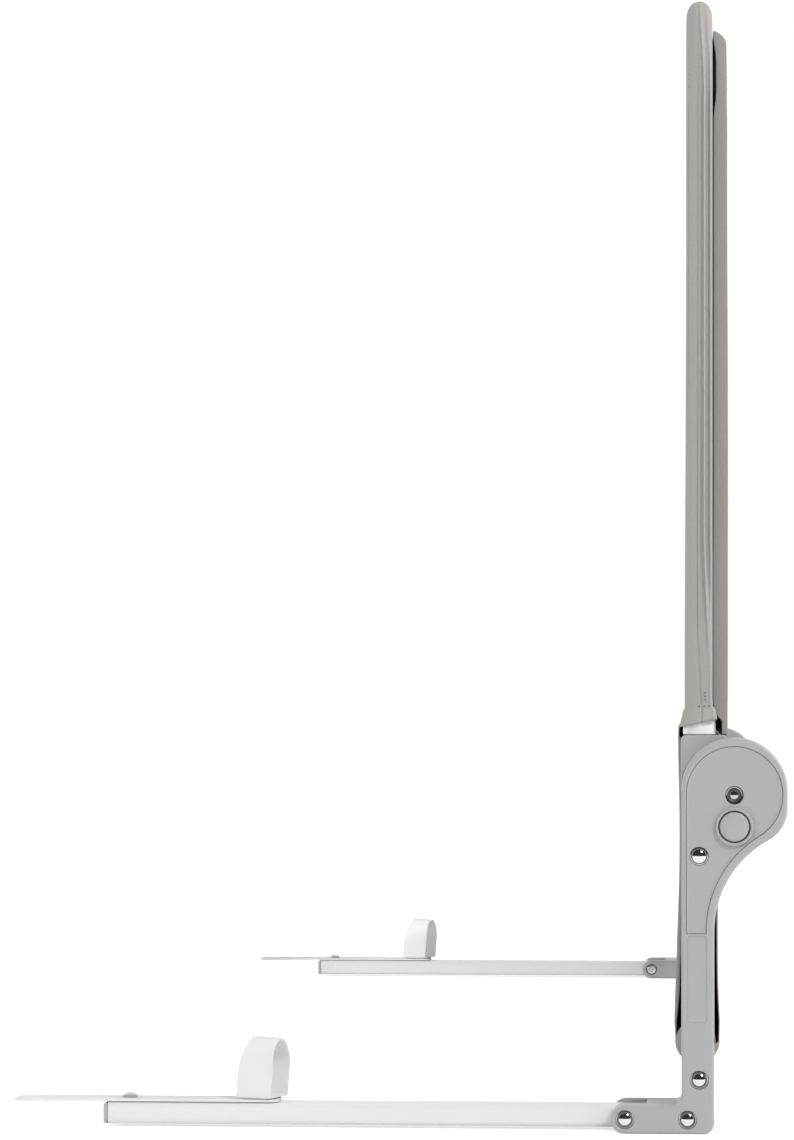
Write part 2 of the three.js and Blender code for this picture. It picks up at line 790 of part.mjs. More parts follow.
// End cap: a flange over the end of the arm tube, and a plug inside it
function armEndCap() {
  const wall = armWall + gap;
  const plug = roundedRectangle(armWidth - wall * 2, armHeight - wall * 2, armCorner - armWall);
  const flangeBackX = capThickness - armLength;
  const corner = new THREE.Shape();
  corner.moveTo(-armLength - overrun, armTop - capChamfer - overrun);
  corner.lineTo(-armLength + capChamfer + overrun, armTop + overrun);
  corner.lineTo(-armLength - overrun, armTop + overrun);
  return cut(
    join(
      beam(roundedRectangle(armWidth, armHeight, armCorner), -armLength, flangeBackX),
      beam(plug, flangeBackX - capThickness / 2, flangeBackX + gap + plugLength),
    ),
    slab(corner, -armWidth, armWidth),
  );
}

// Strip: a flat webbing that lies on the arm and runs on past its end
function armStrip() {
  const start = -armLength - stripOverhang;
  const length = -stripStop - start;
  const shape = roundedRectangle(length, stripWidth, stripCorner, start + length / 2, 0);
  const hole = new THREE.Path();
  hole.absarc(rivetSetback - armLength, 0, rivetShankRadius + gap, 0, Math.PI * 2, true);
  shape.holes.push(hole);
  const geometry = new THREE.ExtrudeGeometry(shape, {
    depth: stripThickness,
    bevelEnabled: false,
    curveSegments: boltSides / 2,
  });
  geometry.translate(0, 0, armTop + gap);
  return solid(geometry);
}

// Rivet: a low domed head on the strip, and a shank through the strip and the tube's top wall
function stripRivet() {
  const shank = stripThickness + gap * 2 + armWall + rivetShankReach;
  const body = turned([
    ...domeProfile(rivetRadius, rivetHeight, 0),
    [rivetShankRadius, 0],
    [rivetShankRadius, shank],
    [0, shank],
  ]);
  return body.rotate([-90, 0, 0]);
}

// Strap loop: a band of webbing arched across the arm, closed by its flat foot on the strip
function strapLoop() {
  const half = loopSpan / 2;
  const arch = (inward) => {
    const side = half - inward;
    const top = loopHeight - inward;
    const spring = loopHeight * (1 - loopCrownShare);
    const corner = loopCorner - inward;
    const path = new THREE.Shape();
    path.moveTo(corner - side, inward);
    path.lineTo(side - corner, inward);
    arc(path, side - corner, inward + corner, corner, -Math.PI / 2, 0);
    path.lineTo(side, spring);
    path.absellipse(0, spring, side, top - spring, 0, Math.PI, false);
    path.lineTo(-side, inward + corner);
    arc(path, corner - side, inward + corner, corner, Math.PI, Math.PI * 1.5);
    return path;
  };
  const shape = arch(0);
  shape.holes.push(arch(loopThickness));
  return beam(shape, -loopWidth / 2, loopWidth / 2);
}

// One end of the rail: the bracket with its button, knuckle and arm
function railEnd(side, mirrored) {
  const end = new THREE.Group();
  const inwards = mirrored ? -1 : 1;
  end.position.y = mirrored ? halfLength : -halfLength;

  const add = (name, body, material, x = 0, z = 0, depth = 0) => {
    const mesh = piece(`${side}_${name}`, body, material, mirrored);
    mesh.position.set(x, depth * inwards, z);
    end.add(mesh);
    return mesh;
  };

  add('outer_shell', outerShell(), greyPlastic);
  add('inner_shell', innerShell(), greyPlastic);
  add('leg_core', legCore(), greyPlastic);
  add('outer_plate', plate(outerPlateFront, outerPlateBack, true), zincSteel);
  add('inner_plate', plate(innerPlateFront, innerPlateBack, false), zincSteel);

  const headBase = boltRecess - gap;
  bodyBolts.forEach(({ name, x, z }) => {
    add(`${name}_bolt`, bolt(boltRadius, boltHeadRadius, boltHeadHeight, headBase), chrome, x, z);
    add(`${name}_screw`, screw(), zincSteel, x, z);
  });
  add('arm_pin', bolt(boltRadius, boltHeadRadius, boltHeadHeight, headBase), chrome, armPin.x, armPin.z);
  add('arm_screw', screw(), zincSteel, armPin.x, armPin.z);
  const pivotHeadBase = pivotRecess - gap;
  add('pivot_bolt', bolt(pivotRadius, pivotHeadRadius, pivotHeadHeight, pivotHeadBase), chrome, 0, pivotHeight);
  add('pivot_screw', screw(), zincSteel, 0, pivotHeight);

  add('release_button', releaseButton(), greyPlastic, 0, buttonHeight);
  add('button_spring', buttonSpring(), zincSteel, 0, buttonHeight);
  add('knuckle', knuckle(), greyPlastic, 0, pivotHeight);
  add('ferrule', ferrule(), whitePaint, tubeX, ferruleBottom, slotMiddle);

  add('arm_tube', armTube(), whitePaint, pinX, pinHeight, slotMiddle);
  add('arm_end_cap', armEndCap(), capPlastic, pinX, pinHeight, slotMiddle);
  add('arm_strip', armStrip(), whiteWebbing, pinX, pinHeight, slotMiddle);
  const rivetX = pinX - armLength + rivetSetback;
  add('strip_rivet', stripRivet(), chrome, rivetX, pinHeight + stripTop + gap, slotMiddle);
  const loop = add('strap_loop', strapLoop(), whiteWebbing, pinX - loopStop, pinHeight + stripTop + gap, slotMiddle);
  loop.rotation.z = loopTurn;
  return end;
}

const rail = new THREE.Group();
rail.add(railEnd('left', false));
rail.add(railEnd('right', true));

const frame = new THREE.Group();
frame.position.x = tubeX;
frame.add(piece('left_frame_tube', frameTube(), whitePaint));
frame.add(piece('right_frame_tube', frameTube(), whitePaint, true));
const spigot = piece(
  'frame_spigot',
  rod(tubeRadius - tubeWall - gap, -spigotLength / 2, spigotLength / 2),
  zincSteel,
);
spigot.position.z = frameTop;
frame.add(spigot);
frame.add(piece('upper_cover', upperCover(), greyFabric));
rail.add(frame);

const bar = piece('cross_bar', crossBar(), zincSteel);
bar.position.set(barX, 0, barHeight);
rail.add(bar);
rail.add(piece('lower_cover', lowerCover(), greyFabric));

// The origin is the middle of the footprint, between the strips' free ends and the lobes
const stripTip = pinX - armLength - stripOverhang;
rail.position.x = -(stripTip + lobeRadius) / 2;

export default rail;
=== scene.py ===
# %% [markdown]
# Folding bed guard rail.
#
# A padded fabric panel stands on a bent steel frame between two plastic brackets. The panel folds outwards
# at the round lobes, and the white arms fold up at the feet. The construction comes in finished as the
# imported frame. This lesson dresses it: mouldings with softened edges, chrome heads, painted tubes, webbing
# and a sewn cover. All lengths are in metres, with X from the bed outwards, Y along the rail and Z up.

import json
import math

import bmesh
import bpy
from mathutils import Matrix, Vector, noise
from mathutils.geometry import tessellate_polygon


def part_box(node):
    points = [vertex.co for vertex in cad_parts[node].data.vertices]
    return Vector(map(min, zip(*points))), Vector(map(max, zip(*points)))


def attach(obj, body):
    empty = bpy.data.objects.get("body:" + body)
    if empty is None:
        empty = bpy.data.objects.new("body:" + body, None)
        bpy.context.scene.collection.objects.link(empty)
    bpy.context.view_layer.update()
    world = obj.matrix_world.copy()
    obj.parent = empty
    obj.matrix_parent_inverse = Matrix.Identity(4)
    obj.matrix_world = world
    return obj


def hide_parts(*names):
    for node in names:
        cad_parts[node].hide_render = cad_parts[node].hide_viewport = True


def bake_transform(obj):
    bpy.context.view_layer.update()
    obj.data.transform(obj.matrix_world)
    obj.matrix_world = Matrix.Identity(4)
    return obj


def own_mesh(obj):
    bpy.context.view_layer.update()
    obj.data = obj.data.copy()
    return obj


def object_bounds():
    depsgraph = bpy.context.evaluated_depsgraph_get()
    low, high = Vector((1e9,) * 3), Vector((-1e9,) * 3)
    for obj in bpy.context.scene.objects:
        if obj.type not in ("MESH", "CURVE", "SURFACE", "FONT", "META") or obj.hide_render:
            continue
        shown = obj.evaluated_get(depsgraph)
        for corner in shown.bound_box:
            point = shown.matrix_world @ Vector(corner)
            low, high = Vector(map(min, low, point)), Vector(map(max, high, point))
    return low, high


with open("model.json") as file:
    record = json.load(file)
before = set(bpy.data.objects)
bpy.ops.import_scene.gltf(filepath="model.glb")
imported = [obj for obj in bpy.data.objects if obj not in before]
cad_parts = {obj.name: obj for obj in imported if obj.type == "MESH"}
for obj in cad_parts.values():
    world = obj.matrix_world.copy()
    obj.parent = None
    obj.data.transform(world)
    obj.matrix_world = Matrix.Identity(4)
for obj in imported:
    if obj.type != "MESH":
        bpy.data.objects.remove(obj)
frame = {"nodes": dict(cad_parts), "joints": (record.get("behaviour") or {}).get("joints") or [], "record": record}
cad_low, cad_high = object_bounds()
print("frame from", [round(v, 4) for v in cad_low], "to", [round(v, 4) for v in cad_high])

# %% [markdown]
# Every place that a moving piece depends on is read from the frame: the fold axis, the arms' pins and the
# middles of the bolts. So a piece made here sits exactly on the part that carries it, and follows if that
# part changes. Depths are counted from the outer face of a bracket, and ARM_MIDDLE is the depth of the middle
# of its arm.

# %% Places read from the frame
JOINTS = {joint["name"]: joint for joint in frame["joints"]}
PIVOT = Vector(JOINTS["panel_fold"]["pos_m"])
PIN = Vector(JOINTS["left_arm_fold"]["pos_m"])
SIDES = ("left", "right")
ARM_MIDDLE = 0.0215


def middle(node):
    """The middle of a node's box."""
    low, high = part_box(node)
    return (low + high) / 2


OUTER_FACE = {"left": PIN.y - ARM_MIDDLE, "right": -PIN.y + ARM_MIDDLE}
INWARDS = {"left": 1, "right": -1}
TUBE = middle("left_ferrule")
BAR = middle("cross_bar")
print("fold axis", tuple(PIVOT), "arm pin", tuple(PIN), "tube", tuple(TUBE), "bar", tuple(BAR))


def at_end(side, x, depth, z):
    """A point of a bracket: X from the fold axis, the depth below its outer face, and the height."""
    return Vector((PIVOT.x + x, OUTER_FACE[side] + INWARDS[side] * depth, z))


# %% [markdown]
# The camera looks straight along the rail from about two metres away, so the far bracket shows small behind
# the near one. A long lens with a little shift and a small turn to the left keeps the uprights exactly
# upright.

# %% Camera
camera_data = bpy.data.cameras.new("camera")
camera_data.lens = 112.62
camera_data.sensor_width = 36
camera_data.shift_x = -0.06
camera_data.shift_y = 0.1231
camera_data.clip_end = 100
camera = bpy.data.objects.new("camera", camera_data)
camera.location = (0.1412, -2.159, 0.197)
camera.rotation_euler = (math.radians(90), 0, math.radians(3.725))
bpy.context.scene.collection.objects.link(camera)
bpy.context.scene.camera = camera
bpy.context.scene.view_settings.view_transform = "Standard"
print("camera at", tuple(round(v, 3) for v in camera.location), "lens", round(camera_data.lens, 2))

# %% [markdown]
# The studio is a white sweep with soft light from all round. A key lamp stands high to the right of the
# camera, and a weaker fill lamp, which gloss doesn't see, lower to its left. Two lamps beside the rail light
# its rounded edges, and a narrow spot lifts the far arm, which stands furthest from the key. The world is
# white where the camera, a gloss or glass sees it, and a good deal less as light, so that colours come out as
# they are written. Chrome needs something dark to mirror: a curved black card stands behind the camera, seen
# only in reflections.

# %% World, lamps and black card
WORLD_LEVEL = 0.5


def node_tree(owner):
    """An empty node tree of a material or the world, with its nodes and links."""
    owner.use_nodes = True
    owner.node_tree.nodes.clear()
    return owner.node_tree.nodes, owner.node_tree.links


def seen_directly(nodes, links):
    """A value that is 1 where the camera, a gloss or glass looks, and 0 for scattered light."""
    path = nodes.new("ShaderNodeLightPath")
    first = nodes.new("ShaderNodeMath")
    first.operation = "MAXIMUM"
    second = nodes.new("ShaderNodeMath")
    second.operation = "MAXIMUM"
    links.new(path.outputs["Is Camera Ray"], first.inputs[0])
    links.new(path.outputs["Is Glossy Ray"], first.inputs[1])
    links.new(first.outputs[0], second.inputs[0])
    links.new(path.outputs["Is Transmission Ray"], second.inputs[1])
    return second.outputs[0]


world = bpy.data.worlds.new("studio")
bpy.context.scene.world = world
nodes, links = node_tree(world)
light = nodes.new("ShaderNodeBackground")
light.inputs["Color"].default_value = (0.97, 0.985, 1, 1)
light.inputs["Strength"].default_value = WORLD_LEVEL
white = nodes.new("ShaderNodeBackground")
white.inputs["Color"].default_value = (1, 1, 1, 1)
white.inputs["Strength"].default_value = 1
mix = nodes.new("ShaderNodeMixShader")
output = nodes.new("ShaderNodeOutputWorld")
links.new(seen_directly(nodes, links), mix.inputs["Fac"])
links.new(light.outputs[0], mix.inputs[1])
links.new(white.outputs[0], mix.inputs[2])
links.new(mix.outputs[0], output.inputs["Surface"])


def aim_lamp(data, place, target):
    """A lamp that stands at a place and faces a point of the rail."""
    lamp = bpy.data.objects.new(data.name, data)
    lamp.location = place
    lamp.rotation_euler = (Vector(target) - Vector(place)).to_track_quat("-Z", "Y").to_euler()
    bpy.context.scene.collection.objects.link(lamp)
    return lamp


def soft_lamp(name, place, target, size, watts):
    """A square soft lamp that faces a point of the rail."""
    data = bpy.data.lights.new(name, "AREA")
    data.shape = "SQUARE"
    data.size = size
    data.energy = watts
    return aim_lamp(data, place, target)


soft_lamp("key_lamp", (1.6, -2.4, 2.3), (0.1, -0.3, 0.2), 0.7, 37)
soft_lamp("fill_lamp", (-1.6, -2.2, 0.7), (0.0, -0.3, 0.15), 1.0, 10).visible_glossy = False
soft_lamp("left_edge_lamp", (-2.6, 0.6, 0.9), (0.1, -0.3, 0.3), 1.2, 19)
soft_lamp("right_edge_lamp", (2.2, -0.5, 1.5), (0.15, -0.4, 0.2), 0.8, 24)

spot = bpy.data.lights.new("far_arm_lamp", "SPOT")
spot.energy = 18
spot.spot_size = math.radians(12.4)
spot.spot_blend = 0.6
spot.shadow_soft_size = 0.03
aim_lamp(spot, (-0.75, -0.30, 0.42), (-0.03, 0.48, 0.012)).visible_camera = False

CARD_DISTANCE = 3.6
CARD_HALF_TURN = math.radians(88)
CARD_FOOT = math.radians(1)
CARD_ENDS = math.radians(4)
CARD_CROWN = math.radians(80)
CARD_SHADE = (0.055, 0.055, 0.056, 1)
CARD_STEPS = 24


def card_rise(turn):
    """How high the black card reaches, as an angle, at a turn to either side of the camera."""
    hill = math.cos(turn * 0.5 * math.pi / CARD_HALF_TURN)
    return CARD_ENDS + CARD_CROWN * max(0.0, hill) ** 0.5


def black_card(centre):
    """A curved black card round the camera's side, like a low hill, that only shows in reflections."""
    points, faces = ([], [])
    for k in range(CARD_STEPS + 1):
        turn = CARD_HALF_TURN * (2 * k / CARD_STEPS - 1)
        for j in range(CARD_STEPS + 1):
            rise = CARD_FOOT + card_rise(turn) * j / CARD_STEPS
            level = CARD_DISTANCE * math.cos(rise)
            points.append((
                centre.x + level * math.sin(turn), centre.y - level * math.cos(turn),
                centre.z + CARD_DISTANCE * math.sin(rise),
            ))
    row = CARD_STEPS + 1
    for k in range(CARD_STEPS):
        for j in range(CARD_STEPS):
            a = k * row + j
            faces.append((a, a + 1, a + row + 1, a + row))
    mesh = bpy.data.meshes.new("black_card")
    mesh.from_pydata(points, [], faces)
    obj = bpy.data.objects.new("black_card", mesh)
    bpy.context.scene.collection.objects.link(obj)
    obj.visible_camera = False
    obj.visible_diffuse = False
    obj.visible_shadow = False
    obj.visible_transmission = False
    dark = bpy.data.materials.new("black_card")
    card_nodes, card_links = node_tree(dark)
    shade = card_nodes.new("ShaderNodeEmission")
    shade.inputs["Color"].default_value = CARD_SHADE
    card_output = card_nodes.new("ShaderNodeOutputMaterial")
    card_links.new(shade.outputs[0], card_output.inputs["Surface"])
    mesh.materials.append(dark)
    return obj


black_card(Vector((PIVOT.x, OUTER_FACE["left"], 0.1)))

# %% [markdown]
# The floor is matt and nearly white. A little glow for the camera alone lifts it to the white of the
# background, and because the glow is added to the lit surface, the rail's soft shadow stays.

# %% Floor
FLOOR_REACH = 30
FLOOR_GLOW = 0.6

floor_mesh = bpy.data.meshes.new("floor")
floor_mesh.from_pydata(
    [(-FLOOR_REACH, -FLOOR_REACH, 0), (FLOOR_REACH, -FLOOR_REACH, 0),
     (FLOOR_REACH, FLOOR_REACH, 0), (-FLOOR_REACH, FLOOR_REACH, 0)],
    [], [(0, 1, 2, 3)],
)
floor = bpy.data.objects.new("floor", floor_mesh)
bpy.context.scene.collection.objects.link(floor)
floor_paint = bpy.data.materials.new("floor_paint")
nodes, links = node_tree(floor_paint)
matt = nodes.new("ShaderNodeBsdfDiffuse")
matt.inputs["Color"].default_value = (0.88, 0.88, 0.88, 1)
glow = nodes.new("ShaderNodeEmission")
strength = nodes.new("ShaderNodeMath")
strength.operation = "MULTIPLY"
strength.inputs[1].default_value = FLOOR_GLOW
both = nodes.new("ShaderNodeAddShader")
output = nodes.new("ShaderNodeOutputMaterial")
links.new(seen_directly(nodes, links), strength.inputs[0])
links.new(strength.outputs[0], glow.inputs["Strength"])
links.new(matt.outputs[0], both.inputs[0])
links.new(glow.outputs[0], both.inputs[1])
links.new(both.outputs[0], output.inputs["Surface"])
floor_mesh.materials.append(floor_paint)
print("floor", FLOOR_REACH * 2, "m square")

# %% [markdown]
# Several finishes share an effect: a fine grain on mouldings, the weave of cloth, and faint unevenness of
# colour. Each effect is a node group with named inputs, built once. It puts out values that vary over the
# surface, and the shader itself stays in each material.

# %% Node groups


def new_group(name, inputs, outputs):
    """An empty shader node group with its sockets. Inputs are (name, type, default)."""
    group = bpy.data.node_groups.new(name, "ShaderNodeTree")
    for label, kind, default in inputs:
        socket = group.interface.new_socket(label, in_out="INPUT", socket_type=kind)
        if default is not None:
            socket.default_value = default
    for label, kind in outputs:
        group.interface.new_socket(label, in_out="OUTPUT", socket_type=kind)
    return group, group.nodes.new("NodeGroupInput"), group.nodes.new("NodeGroupOutput")


def math_node(group, operation, first, second=None):
    """A math node whose inputs are sockets or numbers, and its value."""
    node = group.nodes.new("ShaderNodeMath")
    node.operation = operation
    for socket, value in zip(node.inputs, (first, second)):
        if value is None:
            continue
        if isinstance(value, (int, float)):
            socket.default_value = value
        else:
            group.links.new(value, socket)
    return node.outputs[0]


def uneven_colour_group():
    """Colour that drifts a little lighter and darker in soft clouds."""
    group, start, end = new_group(
        "uneven_colour",
        [("Color", "NodeSocketColor", (0.5, 0.5, 0.5, 1)), ("Cloud Size", "NodeSocketFloat", 30.0),
         ("Amount", "NodeSocketFloat", 0.05), ("Vector", "NodeSocketVector", None)],
        [("Color", "NodeSocketColor")],
    )
    cloud = group.nodes.new("ShaderNodeTexNoise")
    cloud.inputs["Detail"].default_value = 4
    group.links.new(start.outputs["Vector"], cloud.inputs["Vector"])
    group.links.new(start.outputs["Cloud Size"], cloud.inputs["Scale"])
    drift = math_node(group, "SUBTRACT", cloud.outputs["Fac"], 0.5)
    drift = math_node(group, "MULTIPLY", drift, start.outputs["Amount"])
    level = math_node(group, "ADD", drift, 1.0)
    scale = group.nodes.new("ShaderNodeVectorMath")
    scale.operation = "SCALE"
    group.links.new(start.outputs["Color"], scale.inputs[0])
    group.links.new(level, scale.inputs["Scale"])
    group.links.new(scale.outputs["Vector"], end.inputs["Color"])
    return group


def moulded_grain_group():
    """The fine spark-eroded grain of a mould, as a height, with a roughness that follows it."""
    group, start, end = new_group(
        "moulded_grain",
        [("Grain Size", "NodeSocketFloat", 2500.0), ("Roughness", "NodeSocketFloat", 0.45),
         ("Spread", "NodeSocketFloat", 0.1), ("Vector", "NodeSocketVector", None)],
        [("Height", "NodeSocketFloat"), ("Roughness", "NodeSocketFloat")],
    )
    grain = group.nodes.new("ShaderNodeTexNoise")
    grain.inputs["Detail"].default_value = 3
    group.links.new(start.outputs["Vector"], grain.inputs["Vector"])
    group.links.new(start.outputs["Grain Size"], grain.inputs["Scale"])
    flow = group.nodes.new("ShaderNodeTexNoise")
    flow.inputs["Scale"].default_value = 22
    group.links.new(start.outputs["Vector"], flow.inputs["Vector"])
    drift = math_node(group, "SUBTRACT", flow.outputs["Fac"], 0.5)
    drift = math_node(group, "MULTIPLY", drift, start.outputs["Spread"])
    group.links.new(math_node(group, "ADD", drift, start.outputs["Roughness"]), end.inputs["Roughness"])
    group.links.new(grain.outputs["Fac"], end.inputs["Height"])
    return group


def plain_weave_group():
    """Threads over and under each other, as a height and a mask of the gaps between them.
    The pattern runs along Y and Z, and X is added to both so that it doesn't smear on the edges."""
    group, start, end = new_group(
        "plain_weave",
        [("Threads per Metre", "NodeSocketFloat", 1500.0), ("Vector", "NodeSocketVector", None)],
        [("Height", "NodeSocketFloat"), ("Gaps", "NodeSocketFloat")],
    )
    place = group.nodes.new("ShaderNodeSeparateXYZ")
    group.links.new(start.outputs["Vector"], place.inputs[0])
    along = math_node(group, "ADD", place.outputs["Y"], place.outputs["X"])
    up = math_node(group, "ADD", place.outputs["Z"], place.outputs["X"])
    turns = math_node(group, "MULTIPLY", start.outputs["Threads per Metre"], math.pi)
    warp = math_node(group, "SINE", math_node(group, "MULTIPLY", along, turns))
    weft = math_node(group, "SINE", math_node(group, "MULTIPLY", up, turns))
    crossing = math_node(group, "MULTIPLY", warp, weft)
    height = math_node(group, "MULTIPLY", math_node(group, "ADD", crossing, 1.0), 0.5)
    group.links.new(height, end.inputs["Height"])
    gaps = math_node(group, "SUBTRACT", 1.0, math_node(group, "ABSOLUTE", crossing))
    group.links.new(math_node(group, "POWER", gaps, 3.0), end.inputs["Gaps"])
    return group


UNEVEN = uneven_colour_group()
GRAIN = moulded_grain_group()
WEAVE = plain_weave_group()
print("node groups:", UNEVEN.name, GRAIN.name, WEAVE.name)

# %% [markdown]
# The finishes. The mouldings are satin grey, the tubes have a smooth white powder coat, the heads are
# chrome and the inner steel is zinc plated. Cloth is rough with a faint sheen, and its weave is a bump too
# fine to see from afar, which is what makes it look soft instead of painted. Webbing is thick and white, so
# a little light passes through it. The pivot bolt's head sits deep in its pocket, and its chrome is painted
# darker than the other heads' as painted shade from that pocket.

# %% Finishes


def begin_material(name):
    """A material with its shader, its output and the object's own coordinates."""
    material = bpy.data.materials.new(name)
    own_nodes, own_links = node_tree(material)
    shader = own_nodes.new("ShaderNodeBsdfPrincipled")
    own_output = own_nodes.new("ShaderNodeOutputMaterial")
    own_links.new(shader.outputs["BSDF"], own_output.inputs["Surface"])
    place = own_nodes.new("ShaderNodeTexCoord")
    return material, own_nodes, own_links, shader, place.outputs["Object"]


def use_group(own_nodes, own_links, group, vector, **values):
    """Places a node group in a material. Underscores in the value names stand for spaces."""
    node = own_nodes.new("ShaderNodeGroup")
    node.node_tree = group
    own_links.new(vector, node.inputs["Vector"])
    for label, value in values.items():
        node.inputs[label.replace("_", " ")].default_value = value
    return node


def bump(own_nodes, own_links, height, shader, distance):
    """Turns a height into a bent normal."""
    node = own_nodes.new("ShaderNodeBump")
    node.inputs["Strength"].default_value = 1
    node.inputs["Distance"].default_value = distance
    own_links.new(height, node.inputs["Height"])
    own_links.new(node.outputs["Normal"], shader.inputs["Normal"])


def grained(name, color, clouds, grain, depth):
    """A finish with uneven colour, and a fine grain that bends its gloss and varies it.
    Clouds are their size and strength. Grain is its size, the roughness and how far that drifts."""
    material, own_nodes, own_links, shader, vector = begin_material(name)
    tint = use_group(
        own_nodes, own_links, UNEVEN, vector, Color=(*color, 1), Cloud_Size=clouds[0], Amount=clouds[1],
    )
    fine = use_group(
        own_nodes, own_links, GRAIN, vector, Grain_Size=grain[0], Roughness=grain[1], Spread=grain[2],
    )
    own_links.new(tint.outputs["Color"], shader.inputs["Base Color"])
    own_links.new(fine.outputs["Roughness"], shader.inputs["Roughness"])
    bump(own_nodes, own_links, fine.outputs["Height"], shader, depth)
    return material, shader


def moulded_plastic(name, color, roughness):
    """Satin moulded plastic."""
    material, _ = grained(name, color, (24.0, 0.035), (2600.0, roughness, 0.12), 0.00002)
    return material


def powder_coat(name, color):
    """White powder coat: smooth, with the faint unevenness of baked paint."""
    material, shader = grained(name, color, (12.0, 0.02), (420.0, 0.33, 0.08), 0.00004)
    shader.inputs["Coat Weight"].default_value = 0.25
    shader.inputs["Coat Roughness"].default_value = 0.2
    return material


def metal(name, color, roughness, grain_size, depth):
    """Plated metal."""
    material, shader = grained(name, color, (60.0, 0.06), (grain_size, roughness, roughness / 2), depth)
    shader.inputs["Metallic"].default_value = 1
    return material


def cloth(name, color, threads, depth, sheen, cloud, between=0.79):
    """Woven cloth: darker between its threads, matt, with a soft sheen at glancing angles."""
    material, own_nodes, own_links, shader, vector = begin_material(name)
    tint = use_group(own_nodes, own_links, UNEVEN, vector, Color=(*color, 1), Cloud_Size=cloud, Amount=0.07)
    weave = use_group(own_nodes, own_links, WEAVE, vector, Threads_per_Metre=threads)
    darker = own_nodes.new("ShaderNodeMix")
    darker.data_type = "RGBA"
    darker.blend_type = "MULTIPLY"
    darker.inputs["B"].default_value = (between, between, between, 1)
    own_links.new(weave.outputs["Gaps"], darker.inputs["Factor"])
    own_links.new(tint.outputs["Color"], darker.inputs["A"])
    own_links.new(darker.outputs["Result"], shader.inputs["Base Color"])
    shader.inputs["Roughness"].default_value = 0.88
    shader.inputs["Sheen Weight"].default_value = sheen
    shader.inputs["Sheen Roughness"].default_value = 0.4
    shader.inputs["Specular IOR Level"].default_value = 0.25
    bump(own_nodes, own_links, weave.outputs["Height"], shader, depth)
    return material


GREY_PLASTIC = moulded_plastic("grey_plastic", (0.43, 0.43, 0.43), 0.36)
CAP_PLASTIC = moulded_plastic("cap_plastic", (0.5, 0.5, 0.495), 0.5)
WHITE_PAINT = powder_coat("white_paint", (0.85, 0.85, 0.845))
CHROME = metal("chrome", (0.56, 0.57, 0.58), 0.06, 900.0, 0.000004)
# The pivot head's chrome is painted darker than CHROME: painted shade from its deep pocket.
SHADED_CHROME = metal("chrome_painted_shade", (0.42, 0.42, 0.43), 0.1, 900.0, 0.000004)
ZINC = metal("zinc_steel", (0.6, 0.61, 0.62), 0.34, 2200.0, 0.00002)
GREY_FABRIC = cloth("grey_fabric", (0.436, 0.414, 0.391), 1500.0, 0.00009, 0.12, 9.0)
# The leaf's cloth is the cover's grey cloth painted darker: painted shade on the leaf, which is the same cloth as
# the bag.
SHADED_LEAF_FABRIC = cloth("leaf_fabric_painted_shade", (0.268, 0.252, 0.238), 1500.0, 0.00009, 0.1, 9.0)
GREY_THREAD = cloth("grey_thread", (0.33, 0.31, 0.29), 3000.0, 0.00005, 0.1, 60.0)
DARK_THREAD = cloth("dark_thread", (0.09, 0.08, 0.075), 3000.0, 0.00005, 0.1, 60.0)
WEBBING = cloth("white_webbing", (0.9, 0.9, 0.895), 2400.0, 0.00005, 0.1, 30.0, 0.92)
THROUGH_WEBBING = {"Subsurface Weight": 0.4, "Subsurface Radius": (1, 1, 1), "Subsurface Scale": 0.002}
for socket, value in THROUGH_WEBBING.items():
    WEBBING.node_tree.nodes["Principled BSDF"].inputs[socket].default_value = value
MATERIALS = {
    "grey_plastic": GREY_PLASTIC, "cap_plastic": CAP_PLASTIC, "white_paint": WHITE_PAINT,
    "chrome": CHROME, "zinc_steel": ZINC, "grey_fabric": GREY_FABRIC, "white_webbing": WEBBING,
}
for row in frame["record"]["subparts"]:
    carried = frame["nodes"][row["node"]]
    carried.data.materials.clear()
    carried.data.materials.append(MATERIALS[row["material_slot"]])
print("finishes:", sorted(MATERIALS))

# %% [markdown]
# A skin gathers the points and faces of one closed piece. It works loop by loop: a wall joins two loops of
# equally many points, and a flat fills a loop, leaving holes where other loops lie in it. Moulded edges are
# then just a few loops close together, which catch the light as a real rounded edge does.

# %% Mesh helpers
WELD = 1e-6
SMOOTH_ANGLE = math.radians(38)


class Skin:
    """The points and faces of one piece."""

    def __init__(self):
        self.points = []
        self.faces = []

    def loop(self, points):
        """Adds points and returns their numbers."""
        start = len(self.points)
        self.points.extend(points)
        return list(range(start, len(self.points)))

    def wall(self, first, second, closed=True):
        """Faces between two loops of equally many points."""
        count = len(first)
        for k in range(count if closed else count - 1):
            after = (k + 1) % count
            self.faces.append((first[k], first[after], second[after], second[k]))

    def walls(self, loops, closed=True):
        """Faces through several loops, and the numbers of the last one."""
        for first, second in zip(loops, loops[1:]):
            self.wall(first, second, closed)
        return loops[-1]

    def solid(self, loops):
        """Faces through several loops, with a flat at each end."""
        self.walls(loops)
        self.flat(loops[0])
        self.flat(loops[-1])

    def flat(self, outer, holes=()):
        """Fills a flat loop, leaving out the holes in it."""
        rings = [outer, *holes]
        numbers = [n for ring in rings for n in ring]
        for corners in tessellate_polygon([[self.points[n] for n in ring] for ring in rings]):
            self.faces.append(tuple(numbers[c] for c in corners))

    def piece(self, name, material, weighted=True):
        """The finished object, with shared points merged, faces pointing out and soft shading."""
        mesh = bpy.data.meshes.new(name)
        mesh.from_pydata(self.points, [], self.faces)
        body = bmesh.new()
        body.from_mesh(mesh)
        bmesh.ops.remove_doubles(body, verts=body.verts, dist=WELD)
        bmesh.ops.dissolve_degenerate(body, edges=body.edges, dist=WELD)
        bmesh.ops.recalc_face_normals(body, faces=body.faces)
        body.to_mesh(mesh)
        body.free()
        return finish_piece(name, mesh, material, weighted)


def soft_shading(obj, weighted=True):
    """Shades a piece soft where its faces meet at a low angle. Weighted shading follows its large faces."""
    obj.data.shade_smooth()
    obj.data.set_sharp_from_angle(angle=SMOOTH_ANGLE)
    if weighted:
        even = obj.modifiers.new("even_shading", "WEIGHTED_NORMAL")
        even.keep_sharp = True
    return obj


